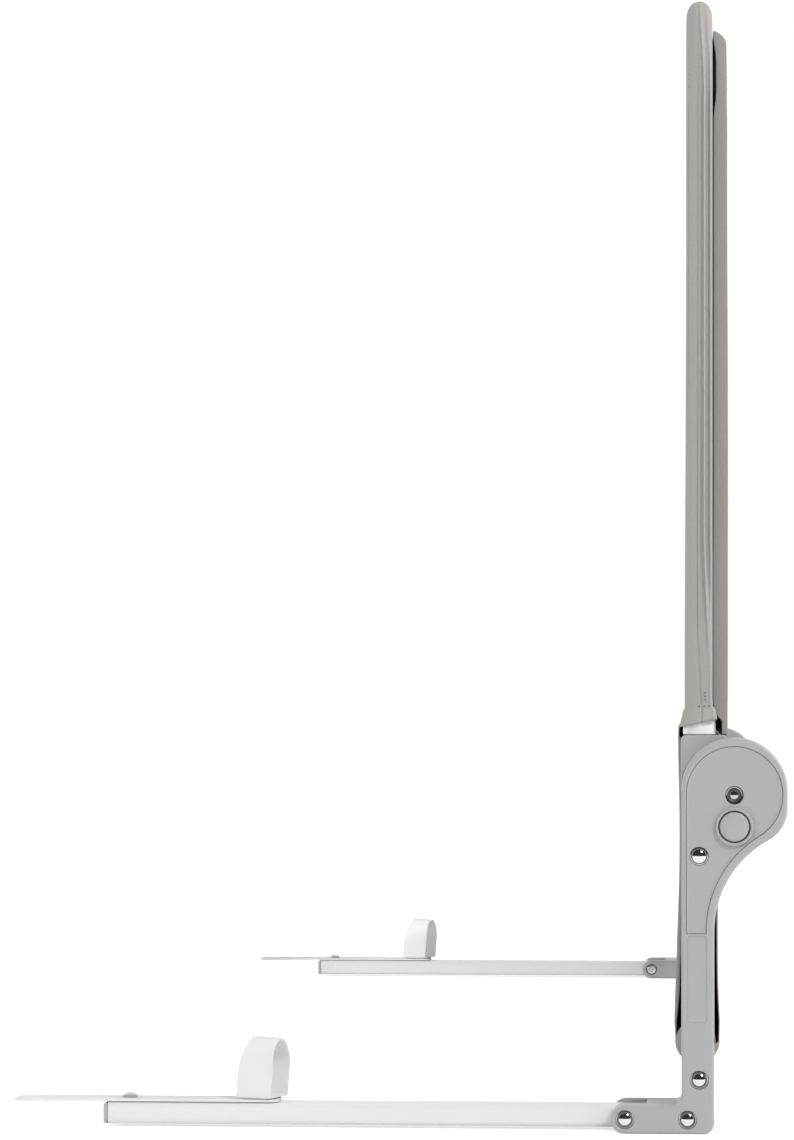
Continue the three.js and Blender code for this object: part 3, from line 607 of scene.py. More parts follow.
def finish_piece(name, mesh, material, weighted=True):
    """An object of a mesh, in its material and with soft shading."""
    mesh.materials.clear()
    mesh.materials.append(material)
    obj = bpy.data.objects.new(name, mesh)
    bpy.context.scene.collection.objects.link(obj)
    return soft_shading(obj, weighted)


def place_piece(obj, body, slot, *replaced):
    """Hangs a piece on the body it rides on, and hides the nodes it stands for. The slot is not used."""
    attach(obj, body)
    if replaced:
        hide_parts(*replaced)
    return obj


def smooth(value, start, end):
    """0 before start, 1 after end, and a soft step between them."""
    share = min(1.0, max(0.0, (value - start) / (end - start)))
    return share * share * (3 - 2 * share)


def bell(value, centre, width):
    """A soft bump of height 1 about a centre."""
    return math.exp(-((value - centre) / width) ** 2)


CIRCLE_STEPS = 40
THINNEST = WELD / 10


def circle(x, z, radius, count=CIRCLE_STEPS):
    """A circle in X and Z."""
    turns = [2 * math.pi * k / count for k in range(count)]
    return [(x + radius * math.cos(t), z + radius * math.sin(t)) for t in turns]


def arc(x, z, radius, start, end, steps):
    """Points along an arc, with both ends."""
    turns = [start + (end - start) * k / steps for k in range(steps + 1)]
    return [(x + radius * math.cos(t), z + radius * math.sin(t)) for t in turns]


def lathe(profile, centre, axis_y, count):
    """A closed skin of (radius, depth) turned about an axis along Y."""
    skin = Skin()
    loops = []
    for radius, depth in profile:
        ring = circle(0, 0, max(radius, THINNEST), count)
        y = centre.y + axis_y * depth
        loops.append(skin.loop([Vector((centre.x + x, y, centre.z + z)) for x, z in ring]))
    skin.solid(loops)
    return skin


print("mesh helpers ready")

# %% [markdown]
# The bracket is one outline: a straight leg, a round lobe with a lower shoulder, a hollow neck, a heel and
# a foot with a round toe. Drawn in from its edge by different insets it gives the edge rounding and the ledge
# inside each moulding, always with the same number of points, so that the loops join one to one. The sunk
# face has an outline of its own: one round line about the fold axis, with the neck's line beside it.

# %% Bracket outline
LOBE_RADIUS = 0.0246
LOBE_RISE = 0.0022
SHOULDER_RADIUS = 0.0167
SHOULDER_DROP = 0.0061
NECK_RADIUS = 0.0484
LEG_WIDTH = 0.0153
FOOT_HEIGHT = 2 * PIN.z
FOOT_FILLET = 0.0028
FILLET_CLEAR = 0.004
HEEL_RADIUS = 0.0051
LEG_BACK = -LOBE_RADIUS
LEG_FRONT = LEG_BACK + LEG_WIDTH
TOE_X = PIN.x - PIVOT.x
LOBE_Z = PIVOT.z + LOBE_RISE
SHOULDER = Vector((LOBE_RADIUS - SHOULDER_RADIUS, PIVOT.z - SHOULDER_DROP))
NECK_X = LEG_FRONT + NECK_RADIUS
NECK_Z = SHOULDER.y - math.sqrt((SHOULDER_RADIUS + NECK_RADIUS) ** 2 - (NECK_X - SHOULDER.x) ** 2)
LEAN = math.atan2(SHOULDER.y - NECK_Z, NECK_X - SHOULDER.x)
QUARTER = math.pi / 2
FACE_LIFT = 0.0003
NECK_MARGIN = 0.0037
FACE_Z = PIVOT.z + FACE_LIFT
FACE_NECK = NECK_RADIUS + NECK_MARGIN
FACE_RADIUS = math.hypot(NECK_X, FACE_Z - NECK_Z) - FACE_NECK
FACE_LEAN = math.atan2(FACE_Z - NECK_Z, NECK_X)


def upper_edge(inset):
    """The lobe, its shoulder and the neck, from the top of the leg's back round to the top of its front."""
    return [
        *arc(0, LOBE_Z, LOBE_RADIUS - inset, math.pi, 0, 56),
        *arc(SHOULDER.x, SHOULDER.y, SHOULDER_RADIUS - inset, 0, -LEAN, 12),
        *arc(NECK_X, NECK_Z, NECK_RADIUS + inset, math.pi - LEAN, math.pi, 24),
    ]


def bracket_outline(inset):
    """The whole bracket's outline."""
    fillet = FOOT_FILLET
    return [
        (LEG_BACK + inset, FOOT_HEIGHT + fillet + FILLET_CLEAR),
        *upper_edge(inset),
        *arc(LEG_FRONT - HEEL_RADIUS, HEEL_RADIUS, HEEL_RADIUS - inset, 0, -QUARTER, 10),
        *arc(TOE_X, PIN.z, PIN.z - inset, -QUARTER, -3 * QUARTER, 24),
        *arc(LEG_BACK - fillet, FOOT_HEIGHT + fillet, fillet + inset, -QUARTER, 0, 8),
    ]


def sunk_outline(inset, floor_height):
    """The sunk face: a round line about the fold axis, the neck's line beside it, and a straight foot."""
    return [
        (-FACE_RADIUS + inset, floor_height),
        *arc(0, FACE_Z, FACE_RADIUS - inset, math.pi, -FACE_LEAN, 72),
        *arc(NECK_X, NECK_Z, FACE_NECK + inset, math.pi - FACE_LEAN, math.pi, 24),
        (NECK_X - FACE_NECK - inset, floor_height),
    ]


def rounded_rectangle(width, height, radius, x=0.0, z=0.0, steps=5):
    """A rectangle about a centre, with rounded corners."""
    right, top = (width / 2 - radius, height / 2 - radius)
    return [
        *arc(x + right, z - top, radius, -QUARTER, 0, steps),
        *arc(x + right, z + top, radius, 0, QUARTER, steps),
        *arc(x - right, z + top, radius, QUARTER, 2 * QUARTER, steps),
        *arc(x - right, z - top, radius, 2 * QUARTER, 3 * QUARTER, steps),
    ]


def bracket_loop(skin, side, outline, depth, x=0, z=0):
    """Adds an outline about a place of a bracket, at a depth below its outer face."""
    return skin.loop([at_end(side, x + u, depth, z + v) for u, v in outline])


print("outline points:", len(bracket_outline(0)))

# %% [markdown]
# The outer moulding carries what the eye goes to first: the rounded edge, the rim round the sunk face, the
# raised collar of the button, the bare recess of a label and five round pockets for the metal heads. The
# sunk face is a round of its own, set off from the lobe's, so the rim is broad at the top and runs out
# narrow beside the neck. A groove and a low lip follow its edge. A pocket is a bore: circles of changing
# radius from the face to the back. Each step, pocket and collar is a table of pairs: the inset or radius,
# and the depth.

# %% Outer mouldings
CHEEK = 0.013
POCKET_FLOOR = 0.0106
PLATE_LEDGE = 0.0017
EDGE_ROUND = 0.0014
ROUNDING_STEPS = 5
FACE_SINK = 0.0008
FACE_STEP_Z = 0.0931
FACE_STEP = (
    (-0.0004, 0.0), (-0.0002, 0.00004), (-0.00007, 0.00013), (0.0, 0.0003), (0.0, 0.00105), (0.0002, 0.00105),
    (0.0002, 0.00072), (0.00026, 0.00058), (0.00038, 0.00049), (0.00055, 0.00047), (0.00078, 0.00056),
    (0.00105, 0.00072), (0.00135, FACE_SINK),
)
RECESS_WIDTH = 0.0091
RECESS_CORNER = 0.0013
RECESS_X = -0.01745
RECESS_LOW = 0.0517
RECESS_HIGH = 0.0922
RECESS_STEP = (
    (-0.0003, 0.0), (-0.0001, 0.00005), (0.00005, 0.00018), (0.0001, 0.0003), (0.0001, 0.0004),
    (0.0003, 0.0004), (0.0004, 0.0003), (0.0007, 0.00027), (0.0012, 0.0003),
)
BOLT_POCKET = (
    (0.0047, 0), (0.00455, 0.00007), (0.0044, 0.0003), (0.0043, 0.0006), (0.0043, 0.0052), (0.0028, 0.0052),
)
PIVOT_POCKET = (
    (0.0047, 0), (0.0045, 0.00007), (0.0043, 0.0003), (0.0042, 0.0006), (0.0042, 0.0072), (0.0033, 0.0072),
)
COLLAR = (
    (0.0091, 0.0001), (0.00895, -0.0001), (0.0089, -0.0005), (0.00888, -0.0012), (0.00878, -0.00148),
    (0.00862, -0.00164), (0.0084, -0.00172), (0.0081, -0.00168), (0.0078, -0.00152), (0.00756, -0.0012),
    (0.00746, -0.0007), (0.00746, 0.0029), (0.0089, 0.0029),
)
BUTTON = middle("left_release_button")


def edge_rounding():
    """(inset, depth) pairs of a rounded edge, from its side to its face."""
    turns = [QUARTER * k / ROUNDING_STEPS for k in range(ROUNDING_STEPS + 1)]
    return [(EDGE_ROUND * (1 - math.cos(t)), EDGE_ROUND * (1 - math.sin(t))) for t in turns]


def bolt_sites(side):
    """(x, z) of the body bolts and the arm pin, from the fold axis."""
    found = [middle(f"{side}_{name}") for name in ("upper_bolt", "lower_bolt", "corner_bolt", "arm_pin")]
    return [(site.x - PIVOT.x, site.z) for site in found]


def bore(skin, side, site, profile, face, bottom):
    """A round pocket from a face to the back: the numbers of its first and last loops."""
    rings = [(radius, face + depth) for radius, depth in profile]
    rings.append((rings[-1][0], bottom))
    loops = [bracket_loop(skin, side, circle(*site, radius), depth) for radius, depth in rings]
    skin.walls(loops)
    return loops[0], loops[-1]


def outer_moulding(side):
    """The outer half of a bracket."""
    skin = Skin()
    upper, lower, corner, pin = bolt_sites(side)
    sides = [(PLATE_LEDGE, POCKET_FLOOR), (PLATE_LEDGE, CHEEK), (0, CHEEK), *edge_rounding()]
    loops = [bracket_loop(skin, side, bracket_outline(inset), depth) for inset, depth in sides]
    skin.walls(loops)

    low_bores = [bore(skin, side, site, BOLT_POCKET, 0, POCKET_FLOOR) for site in (lower, corner, pin)]
    high_bores = [
        bore(skin, side, upper, BOLT_POCKET, FACE_SINK, POCKET_FLOOR),
        bore(skin, side, (0, PIVOT.z), PIVOT_POCKET, FACE_SINK, POCKET_FLOOR),
        bore(skin, side, (0, BUTTON.z), COLLAR, FACE_SINK, POCKET_FLOOR),
    ]
    rings = [(sunk_outline(inset, FACE_STEP_Z + inset), depth) for inset, depth in FACE_STEP]
    steps = [bracket_loop(skin, side, outline, depth) for outline, depth in rings]
    floor_loop = skin.walls(steps)
    skin.flat(floor_loop, [first for first, last in high_bores])

    height, middle_z = (RECESS_HIGH - RECESS_LOW, (RECESS_HIGH + RECESS_LOW) / 2)
    recess = []
    for inset, depth in RECESS_STEP:
        size = (RECESS_WIDTH - inset * 2, height - inset * 2)
        outline = rounded_rectangle(*size, RECESS_CORNER, RECESS_X, middle_z)
        recess.append(bracket_loop(skin, side, outline, depth))
    skin.flat(skin.walls(recess))
    skin.flat(loops[-1], [steps[0], recess[0], *[first for first, last in low_bores]])
    skin.flat(loops[0], [last for first, last in (*low_bores, *high_bores)])
    return skin.piece(f"{side}_outer_moulding", GREY_PLASTIC)


for side in SIDES:
    moulding = place_piece(outer_moulding(side), "root", "grey_plastic", f"{side}_outer_shell")
    print(moulding.name, len(moulding.data.polygons), "faces")

# %% [markdown]
# The inner moulding closes the bracket on its other side. It has plain pockets for the screws, and a round
# boss that the lower cross bar fits on. The boss reaches past the outline, so it is a turned piece joined
# on with a boolean.

# %% Inner mouldings
SLOT_END = 0.030
BRACKET_DEPTH = 0.036
BACK_FLOOR = 0.0324
SCREW_POCKET = ((0.0042, 0), (0.00398, -0.00006), (0.0039, -0.0003), (0.0039, -0.0022), (0.0017, -0.0022))
BOSS_FACE = 0.039
BOSS_RADIUS = 0.0103
BOSS_ROOT = 0.0008
BOSS_SIDES = 56
SPIGOT_RADIUS = 0.0082
SPIGOT_REACH = 0.021
SPIGOT_CHAMFER = 0.001
FLAT_MARGIN = 0.0001


def joined(target, tool):
    """Joins another piece to a piece. The other one is used up."""
    step = target.modifiers.new("join", "BOOLEAN")
    step.operation = "UNION"
    step.solver = "EXACT"
    step.object = tool
    bpy.context.view_layer.update()
    graph = bpy.context.evaluated_depsgraph_get()
    made = bpy.data.meshes.new_from_object(target.evaluated_get(graph), depsgraph=graph)
    target.modifiers.clear()
    old = target.data
    target.data = made
    bpy.data.meshes.remove(old)
    bpy.data.objects.remove(tool)
    return target


def inner_moulding(side):
    """The inner half of a bracket, without its boss."""
    skin = Skin()
    rounding = [(inset, BRACKET_DEPTH - depth) for inset, depth in edge_rounding()]
    sides = [(PLATE_LEDGE, BACK_FLOOR), (PLATE_LEDGE, SLOT_END), (0, SLOT_END), *rounding]
    loops = [bracket_loop(skin, side, bracket_outline(inset), depth) for inset, depth in sides]
    skin.walls(loops)
    sites = [*bolt_sites(side), (0, PIVOT.z)]
    bores = [bore(skin, side, site, SCREW_POCKET, BRACKET_DEPTH, BACK_FLOOR) for site in sites]
    skin.flat(loops[-1], [first for first, last in bores])
    skin.flat(loops[0], [last for first, last in bores])
    return skin.piece(f"{side}_inner_moulding", GREY_PLASTIC, weighted=False)


def cross_bar_boss(side):
    """The boss and spigot of the lower cross bar. The boss is flat where the leg's front edge ends."""
    end = BOSS_FACE + SPIGOT_REACH
    profile = [
        (BOSS_RADIUS, BRACKET_DEPTH - BOSS_ROOT), (BOSS_RADIUS, BOSS_FACE - 0.0008),
        (BOSS_RADIUS - 0.0002, BOSS_FACE - 0.0003), (BOSS_RADIUS - 0.0008, BOSS_FACE),
        (SPIGOT_RADIUS, BOSS_FACE), (SPIGOT_RADIUS, end - SPIGOT_CHAMFER),
        (SPIGOT_RADIUS - SPIGOT_CHAMFER, end),
    ]
    centre = at_end(side, BAR.x - PIVOT.x, 0, BAR.z)
    skin = lathe(profile, centre, INWARDS[side], BOSS_SIDES)
    limit = PIVOT.x + LEG_FRONT - FLAT_MARGIN
    for point in skin.points:
        if (point.y - OUTER_FACE[side]) * INWARDS[side] < BOSS_FACE + WELD:
            point.x = min(point.x, limit)
    return skin.piece("boss", GREY_PLASTIC, weighted=False)


for side in SIDES:
    moulding = soft_shading(joined(inner_moulding(side), cross_bar_boss(side)))
    place_piece(moulding, "root", "grey_plastic", f"{side}_inner_shell")
    print(moulding.name, len(moulding.data.polygons), "faces")

# %% [markdown]
# The leg core, the knuckle and the steel plates already have the right shape in the frame. They only lack
# the small roundings that a mould or a press leaves. So each is copied, its coplanar triangles are merged
# back into whole faces, and every sharp edge gets a narrow bevel.

# %% Softened copies of carried pieces
MERGE_ANGLE = math.radians(0.6)
BEVEL_ANGLE = math.radians(30)
CORE_BEVEL = 0.0003
KNUCKLE_BEVEL = 0.0005
PLATE_BEVEL = 0.0002


def softened(node, name, material, width, segments=2):
    """A copy of a node with merged flats and bevelled edges."""
    body = bmesh.new()
    body.from_mesh(frame["nodes"][node].data)
    bmesh.ops.remove_doubles(body, verts=body.verts, dist=WELD)
    bmesh.ops.dissolve_limit(body, angle_limit=MERGE_ANGLE, verts=body.verts, edges=body.edges)
    sharp = [edge for edge in body.edges if edge.calc_face_angle(0) > BEVEL_ANGLE]
    bmesh.ops.bevel(
        body, geom=sharp, offset=width, offset_type="OFFSET", segments=segments, profile=0.5,
        affect="EDGES", clamp_overlap=True,
    )
    bmesh.ops.recalc_face_normals(body, faces=body.faces)
    mesh = bpy.data.meshes.new(name)
    body.to_mesh(mesh)
    body.free()
    return finish_piece(name, mesh, material)


for side in SIDES:
    core = softened(f"{side}_leg_core", f"{side}_leg_web", GREY_PLASTIC, CORE_BEVEL)
    place_piece(core, "root", "grey_plastic", f"{side}_leg_core")
    block = softened(f"{side}_knuckle", f"{side}_fold_knuckle", GREY_PLASTIC, KNUCKLE_BEVEL, 3)
    place_piece(block, "panel", "grey_plastic", f"{side}_knuckle")
    for where in ("outer", "inner"):
        sheet_metal = softened(f"{side}_{where}_plate", f"{side}_{where}_steel_plate", ZINC, PLATE_BEVEL)
        place_piece(sheet_metal, "root", "zinc_steel", f"{side}_{where}_plate")
    print(core.name, block.name, "and two plates softened")

# %% [markdown]
# Heads and buttons are turned shapes. A domed head is a shallow piece of a sphere with a tight rounding at
# its rim. The shank behind it goes through the bracket, and the screw meets it from the inner side with a
# cross slot.

# %% Bolts, pins, screws and buttons
DOME_STEPS = 10
TURNED_SIDES = 48
HEAD_RIM = 0.0003
HEAD_SEAT = 0.0022
BARREL_END = 0.0321
BARREL_BORE = 0.0017
BORE_FLOOR = 0.0238
BODY_HEAD = (0.0041, 0.002, 0.0021, 0.0025)
AXLE_HEAD = (0.0038, 0.0014, 0.0056, 0.003)
HEADS = (
    ("upper_bolt", "upper_domed_bolt", BODY_HEAD, CHROME),
    ("lower_bolt", "lower_domed_bolt", BODY_HEAD, CHROME),
    ("corner_bolt", "corner_domed_bolt", BODY_HEAD, CHROME),
    ("arm_pin", "arm_domed_pin", BODY_HEAD, CHROME),
    # The pivot head takes the darker chrome, which is painted shade.
    ("pivot_bolt", "pivot_axle", AXLE_HEAD, SHADED_CHROME),
)


def dome(radius, height, base, rim):
    """(radius, depth) of a domed head from its crown to the rim, with a rounded rim."""
    sphere = (radius ** 2 + height ** 2) / (2 * height)
    spread = math.asin(radius / sphere)
    turns = [spread * k / DOME_STEPS for k in range(DOME_STEPS)]
    crown = base - height
    cap = [(sphere * math.sin(t), crown + sphere * (1 - math.cos(t))) for t in turns]
    return [*cap, (radius - rim * 0.15, base - rim * 1.1), (radius, base - rim * 0.4), (radius, base)]


def domed_bolt(side, node, name, head, material):
    """A bolt with a domed head in the outer face and a barrel through the bracket.
    The head gives its own radius, height and base, and the radius of the barrel."""
    radius, height, base, barrel = head
    site = middle(node)
    centre = Vector((site.x, OUTER_FACE[side], site.z))
    seat = base + HEAD_SEAT
    profile = [
        *dome(radius, height, base, HEAD_RIM), (radius, seat), (barrel, seat), (barrel, BARREL_END - 0.0001),
        (barrel - 0.0001, BARREL_END), (BARREL_BORE, BARREL_END), (BARREL_BORE, BORE_FLOOR), (0, BORE_FLOOR),
    ]
    return lathe(profile, centre, INWARDS[side], TURNED_SIDES).piece(name, material)


SCREW_HEAD = 0.0034
SCREW_SHANK = 0.0014
SCREW_TIP = 0.0241
SCREW_FACE = 0.0359
SCREW_BASE = 0.0341
CROSS_ARM = 0.0018
CROSS_HALF = 0.00045
CROSS_DEPTH = 0.001


def cross(arm, half):
    """The outline of a cross slot."""
    return [
        (arm, -half), (arm, half), (half, half), (half, arm), (-half, arm), (-half, half),
        (-arm, half), (-arm, -half), (-half, -half), (-half, -arm), (half, -arm), (half, -half),
    ]


def pan_screw(side, node, name):
    """A pan head screw with a cross slot, seen from the inner side of the bracket."""
    site = middle(node)
    place = (site.x - PIVOT.x, site.z)
    skin = Skin()
    profile = [
        (SCREW_SHANK, SCREW_TIP), (SCREW_SHANK, SCREW_BASE), (SCREW_HEAD, SCREW_BASE),
        (SCREW_HEAD, SCREW_FACE - 0.0009), (SCREW_HEAD - 0.0002, SCREW_FACE - 0.0004),
        (SCREW_HEAD - 0.0007, SCREW_FACE - 0.0001), (SCREW_HEAD - 0.0012, SCREW_FACE),
    ]
    loops = [bracket_loop(skin, side, circle(0, 0, radius), depth, *place) for radius, depth in profile]
    skin.walls(loops)
    skin.flat(loops[0])
    mouth, foot = (cross(CROSS_ARM, CROSS_HALF), cross(CROSS_ARM * 0.8, CROSS_HALF * 0.7))
    slot = [
        bracket_loop(skin, side, mouth, SCREW_FACE, *place),
        bracket_loop(skin, side, foot, SCREW_FACE - CROSS_DEPTH, *place),
    ]
    skin.flat(skin.walls(slot))
    skin.flat(loops[-1], [slot[0]])
    return skin.piece(name, ZINC)


BUTTON_SIDES = 64
BUTTON_PROFILE = (
    (0, -0.0013), (0.0025, -0.00128), (0.0046, -0.0012), (0.0056, -0.00105), (0.0063, -0.0008),
    (0.0067, -0.00045), (0.0069, 0), (0.0069, 0.004), (0.0086, 0.004), (0.0086, 0.0052), (0.0026, 0.0052),
    (0.0026, 0.0172), (0.0023, 0.0175), (0, 0.0175),
)


def release_button(side):
    """A shallow round cap with a soft edge, its flange and its stem."""
    centre = Vector((PIVOT.x, OUTER_FACE[side], BUTTON.z))
    skin = lathe(BUTTON_PROFILE, centre, INWARDS[side], BUTTON_SIDES)
    return skin.piece(f"{side}_push_button", GREY_PLASTIC)


for side in SIDES:
    for node, name, head, material in HEADS:
        bolt = domed_bolt(side, f"{side}_{node}", f"{side}_{name}", head, material)
        place_piece(bolt, "root", "chrome", f"{side}_{node}")
    for name in ("upper", "lower", "corner", "arm", "pivot"):
        node = f"{side}_{name}_screw"
        place_piece(pan_screw(side, node, f"{side}_{name}_cross_screw"), "root", "zinc_steel", node)
    place_piece(release_button(side), f"{side}_button", "grey_plastic", f"{side}_release_button")

# %% [markdown]
# The return spring behind the button is a round wire wound about the stem. It is short and out of sight,
# but it has its real turns.

# %% Button springs
SPRING_RADIUS = 0.0039
WIRE_RADIUS = 0.00035
SPRING_TURNS = 3.5
SPRING_START = 0.00585
SPRING_END = 0.00995
WIRE_SIDES = 8
WIRE_STEPS = 20


def button_spring(side):
    """A helix of round wire about the button's stem."""
    skin = Skin()
    loops = []
    steps = round(SPRING_TURNS * WIRE_STEPS)
    for k in range(steps + 1):
        turn = 2 * math.pi * k / WIRE_STEPS
        depth = SPRING_START + (SPRING_END - SPRING_START) * k / steps
        ring = []
        for j in range(WIRE_SIDES):
            around = 2 * math.pi * j / WIRE_SIDES
            reach = SPRING_RADIUS + WIRE_RADIUS * math.cos(around)
            ring.append(at_end(
                side, reach * math.cos(turn), depth + WIRE_RADIUS * math.sin(around),
                BUTTON.z + reach * math.sin(turn),
            ))
        loops.append(skin.loop(ring))
    skin.solid(loops)
    return skin.piece(f"{side}_return_spring", ZINC, weighted=False)


for side in SIDES:
    spring = place_piece(button_spring(side), "root", "zinc_steel", f"{side}_button_spring")
    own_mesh(spring)
    print(spring.name, len(spring.data.polygons), "faces")

# %% [markdown]
# The arm is a flat oval tube with a round tail at its pin and a grey cap in its open end. The tube is
# lofted from rounded rectangles. Towards the pin they get lower along a quarter circle, which makes the
# round tail.

# %% Arm tubes and end caps
ARM_LENGTH = 0.2468
ARM_WIDTH = 0.016
ARM_HEIGHT = 0.0104
ARM_CORNER = 0.0025
CORNER_STEPS = 6
CAP_THICKNESS = 0.0018
CAP_GAP = 0.0003
CAP_ROUND = 0.0005
CAP_SLOPE = 0.0012
TAIL_STEPS = 12
TAIL_EDGE = 0.0012


def arm_section(side, x, width, height, corner):
    """A rounded rectangle across the arm, at a distance from the pin."""
    outline = rounded_rectangle(width, height, corner, steps=CORNER_STEPS)
    return [at_end(side, TOE_X + x, ARM_MIDDLE + y, PIN.z + z) for y, z in outline]


def arm_tube(side):
    """The arm's tube from the cap to the tail."""
    skin = Skin()
    half = ARM_HEIGHT / 2
    stations = [(CAP_THICKNESS + CAP_GAP - ARM_LENGTH, ARM_HEIGHT, ARM_CORNER)]
    stations.append((-ARM_HEIGHT, ARM_HEIGHT, ARM_CORNER))
    for k in range(TAIL_STEPS + 1):
        turn = QUARTER * k / TAIL_STEPS
        height = max(ARM_HEIGHT * math.cos(turn), TAIL_EDGE)
        stations.append((half * math.sin(turn), height, min(ARM_CORNER, height / 2 - 0.0002)))
    loops = [skin.loop(arm_section(side, x, ARM_WIDTH, height, corner)) for x, height, corner in stations]
    skin.solid(loops)
    return skin.piece(f"{side}_arm_oval_tube", WHITE_PAINT)


def arm_cap(side):
    """The cap: a flange as large as the tube, bevelled along its upper edge."""
    skin = Skin()
    tip = -ARM_LENGTH
    stations = [
        (tip, 0.0010), (tip + CAP_ROUND * 0.3, 0.0003), (tip + CAP_ROUND, 0),
        (tip + CAP_THICKNESS - 0.0002, 0), (tip + CAP_THICKNESS, 0.0002),
    ]
    loops = []
    for x, inset in stations:
        size = (ARM_WIDTH - inset, ARM_HEIGHT - inset)
        section = rounded_rectangle(*size, ARM_CORNER - inset / 2, steps=CORNER_STEPS)
        slope = max(0.0, 1 - (x - tip) / CAP_SLOPE) * CAP_SLOPE
        top = ARM_HEIGHT / 2 - slope
        loops.append(skin.loop([
            at_end(side, TOE_X + x, ARM_MIDDLE + y, PIN.z + min(z, top)) for y, z in section
        ]))
    skin.solid(loops)
    return skin.piece(f"{side}_arm_cap", CAP_PLASTIC)


for side in SIDES:
    place_piece(arm_tube(side), f"{side}_arm", "white_paint", f"{side}_arm_tube")
    place_piece(arm_cap(side), f"{side}_arm", "cap_plastic", f"{side}_arm_end_cap")
print("arms", ARM_LENGTH, "m long")

# %% [markdown]
# The strip on the arm is a flat webbing with rounded ends. It is woven, so its edges are slightly thicker
# than its middle, and its free end, which has nothing under it, droops a hair. The rivet that holds it is
# domed.

# %% Strips and rivets
STRIP_BOTTOM = ARM_HEIGHT / 2 + 0.0003
STRIP_THICKNESS = 0.0012
STRIP_WIDTH = 0.0156
STRIP_OVERHANG = 0.0435
STRIP_STOP = 0.1635
STRIP_ACROSS = 10
STRIP_STEP = 0.002
STRIP_CORNER = 0.003
STRIP_DROOP = 0.0004
SELVEDGE = 0.0001
ON_STRIP = PIN.z + STRIP_BOTTOM + STRIP_THICKNESS + 0.0003
RIVET_SETBACK = 0.0116
RIVET_HEAD = (0.0036, 0.0014, -0.0006, 0.0002)
RIVET_SHANK = ((0.0015, 0.0035), (0, 0.0035))


def strip_half_width(x, start, stop):
    """Half the strip's width at a place, less at its rounded ends."""
    near = max(0.0, STRIP_CORNER - min(x - start, stop - x))
    return STRIP_WIDTH / 2 - (STRIP_CORNER - math.sqrt(max(0.0, STRIP_CORNER ** 2 - near ** 2)))


def arm_strip(side):
    """The webbing strip that lies on the arm and runs past its end."""
    skin = Skin()
    start = -ARM_LENGTH - STRIP_OVERHANG
    stop = -STRIP_STOP
    steps = round((stop - start) / STRIP_STEP)
    loops = []
    for k in range(steps + 1):
        x = start + (stop - start) * k / steps
        half = strip_half_width(x, start, stop)
        beyond = max(0.0, (-ARM_LENGTH - x) / STRIP_OVERHANG)
        droop = -STRIP_DROOP * beyond ** 2
        across = [half * (2 * j / STRIP_ACROSS - 1) for j in range(STRIP_ACROSS + 1)]
        top = [(y, STRIP_THICKNESS - SELVEDGE + SELVEDGE * (y / half) ** 6) for y in across]
        under = [(y, 0.0) for y in reversed(across)]
        loops.append(skin.loop([
            at_end(side, TOE_X + x, ARM_MIDDLE + y, PIN.z + STRIP_BOTTOM + z + droop) for y, z in top + under
        ]))
    skin.solid(loops)
    return skin.piece(f"{side}_arm_webbing", WEBBING)


def strip_rivet(side):
    """A low domed rivet, upright through the strip."""
    x = TOE_X - ARM_LENGTH + RIVET_SETBACK
    skin = Skin()
    loops = []
    for radius, depth in [*dome(*RIVET_HEAD), (RIVET_HEAD[0], 0.0), *RIVET_SHANK]:
        ring = circle(0, 0, max(radius, THINNEST))
        loops.append(skin.loop([at_end(side, x + u, ARM_MIDDLE + v, ON_STRIP - depth) for u, v in ring]))
    skin.solid(loops)
    return skin.piece(f"{side}_strap_rivet", CHROME)


for side in SIDES:
    strip = place_piece(arm_strip(side), f"{side}_arm", "white_webbing", f"{side}_arm_strip")
    place_piece(strip_rivet(side), f"{side}_arm", "chrome", f"{side}_strip_rivet")

# %% [markdown]
# The loop is a band of the same webbing, bent across the arm into a tall arch and sewn down by its flat
# foot. Its centreline goes once round: along the foot, up one side, over an oval crown and down the other
# side. The band stands a little askew, as sewn webbing does.

# %% Strap loops
LOOP_STOP = 0.1722
LOOP_WIDTH = 0.0168
LOOP_SPAN = 0.018
LOOP_LEAN = 0.003
LOOP_HEIGHT = 0.0286
LOOP_BAND = 0.001
LOOP_CROWN_SHARE = 0.45
LOOP_CORNER = 0.0016
LOOP_TURN = math.radians(-22)
LOOP_TWIST = math.radians(-13)
LOOP_ACROSS = 8
LOOP_FOOT_SHARE = 0.8
LOOP_CROWN_STEPS = 28
LOOP_TWIST_START = 0.012
BAND_EDGE = 0.00025


def loop_centreline():
    """Points once round the arch, across the arm and up, at the middle of the band."""
    inward = LOOP_BAND / 2
    side_x = LOOP_SPAN / 2 - inward
    spring = LOOP_HEIGHT * (1 - LOOP_CROWN_SHARE)
    rise = LOOP_HEIGHT * LOOP_CROWN_SHARE - inward
    corner = LOOP_CORNER - inward
    crown = [QUARTER * 2 * k / LOOP_CROWN_STEPS for k in range(LOOP_CROWN_STEPS + 1)]
    straight = [spring * k / 6 for k in range(1, 6)]
    return [
        *[(side_x * (k / 4 - 1) * LOOP_FOOT_SHARE, inward) for k in range(9)],
        *arc(side_x - corner, inward + corner, corner, -QUARTER, 0, 5),
        *[(side_x, z) for z in straight],
        *[(side_x * math.cos(t), spring + rise * math.sin(t)) for t in crown],
        *[(-side_x, z) for z in reversed(straight)],
        *arc(corner - side_x, inward + corner, corner, QUARTER * 2, QUARTER * 3, 5),
    ]


def loop_normals(path):
    """The outward direction at each point of a closed path."""
    found = []
    for k, (x, z) in enumerate(path):
        before, after = path[k - 1], path[(k + 1) % len(path)]
        along = Vector((after[0] - before[0], after[1] - before[1])).normalized()
        found.append((along.y, -along.x))
    return found


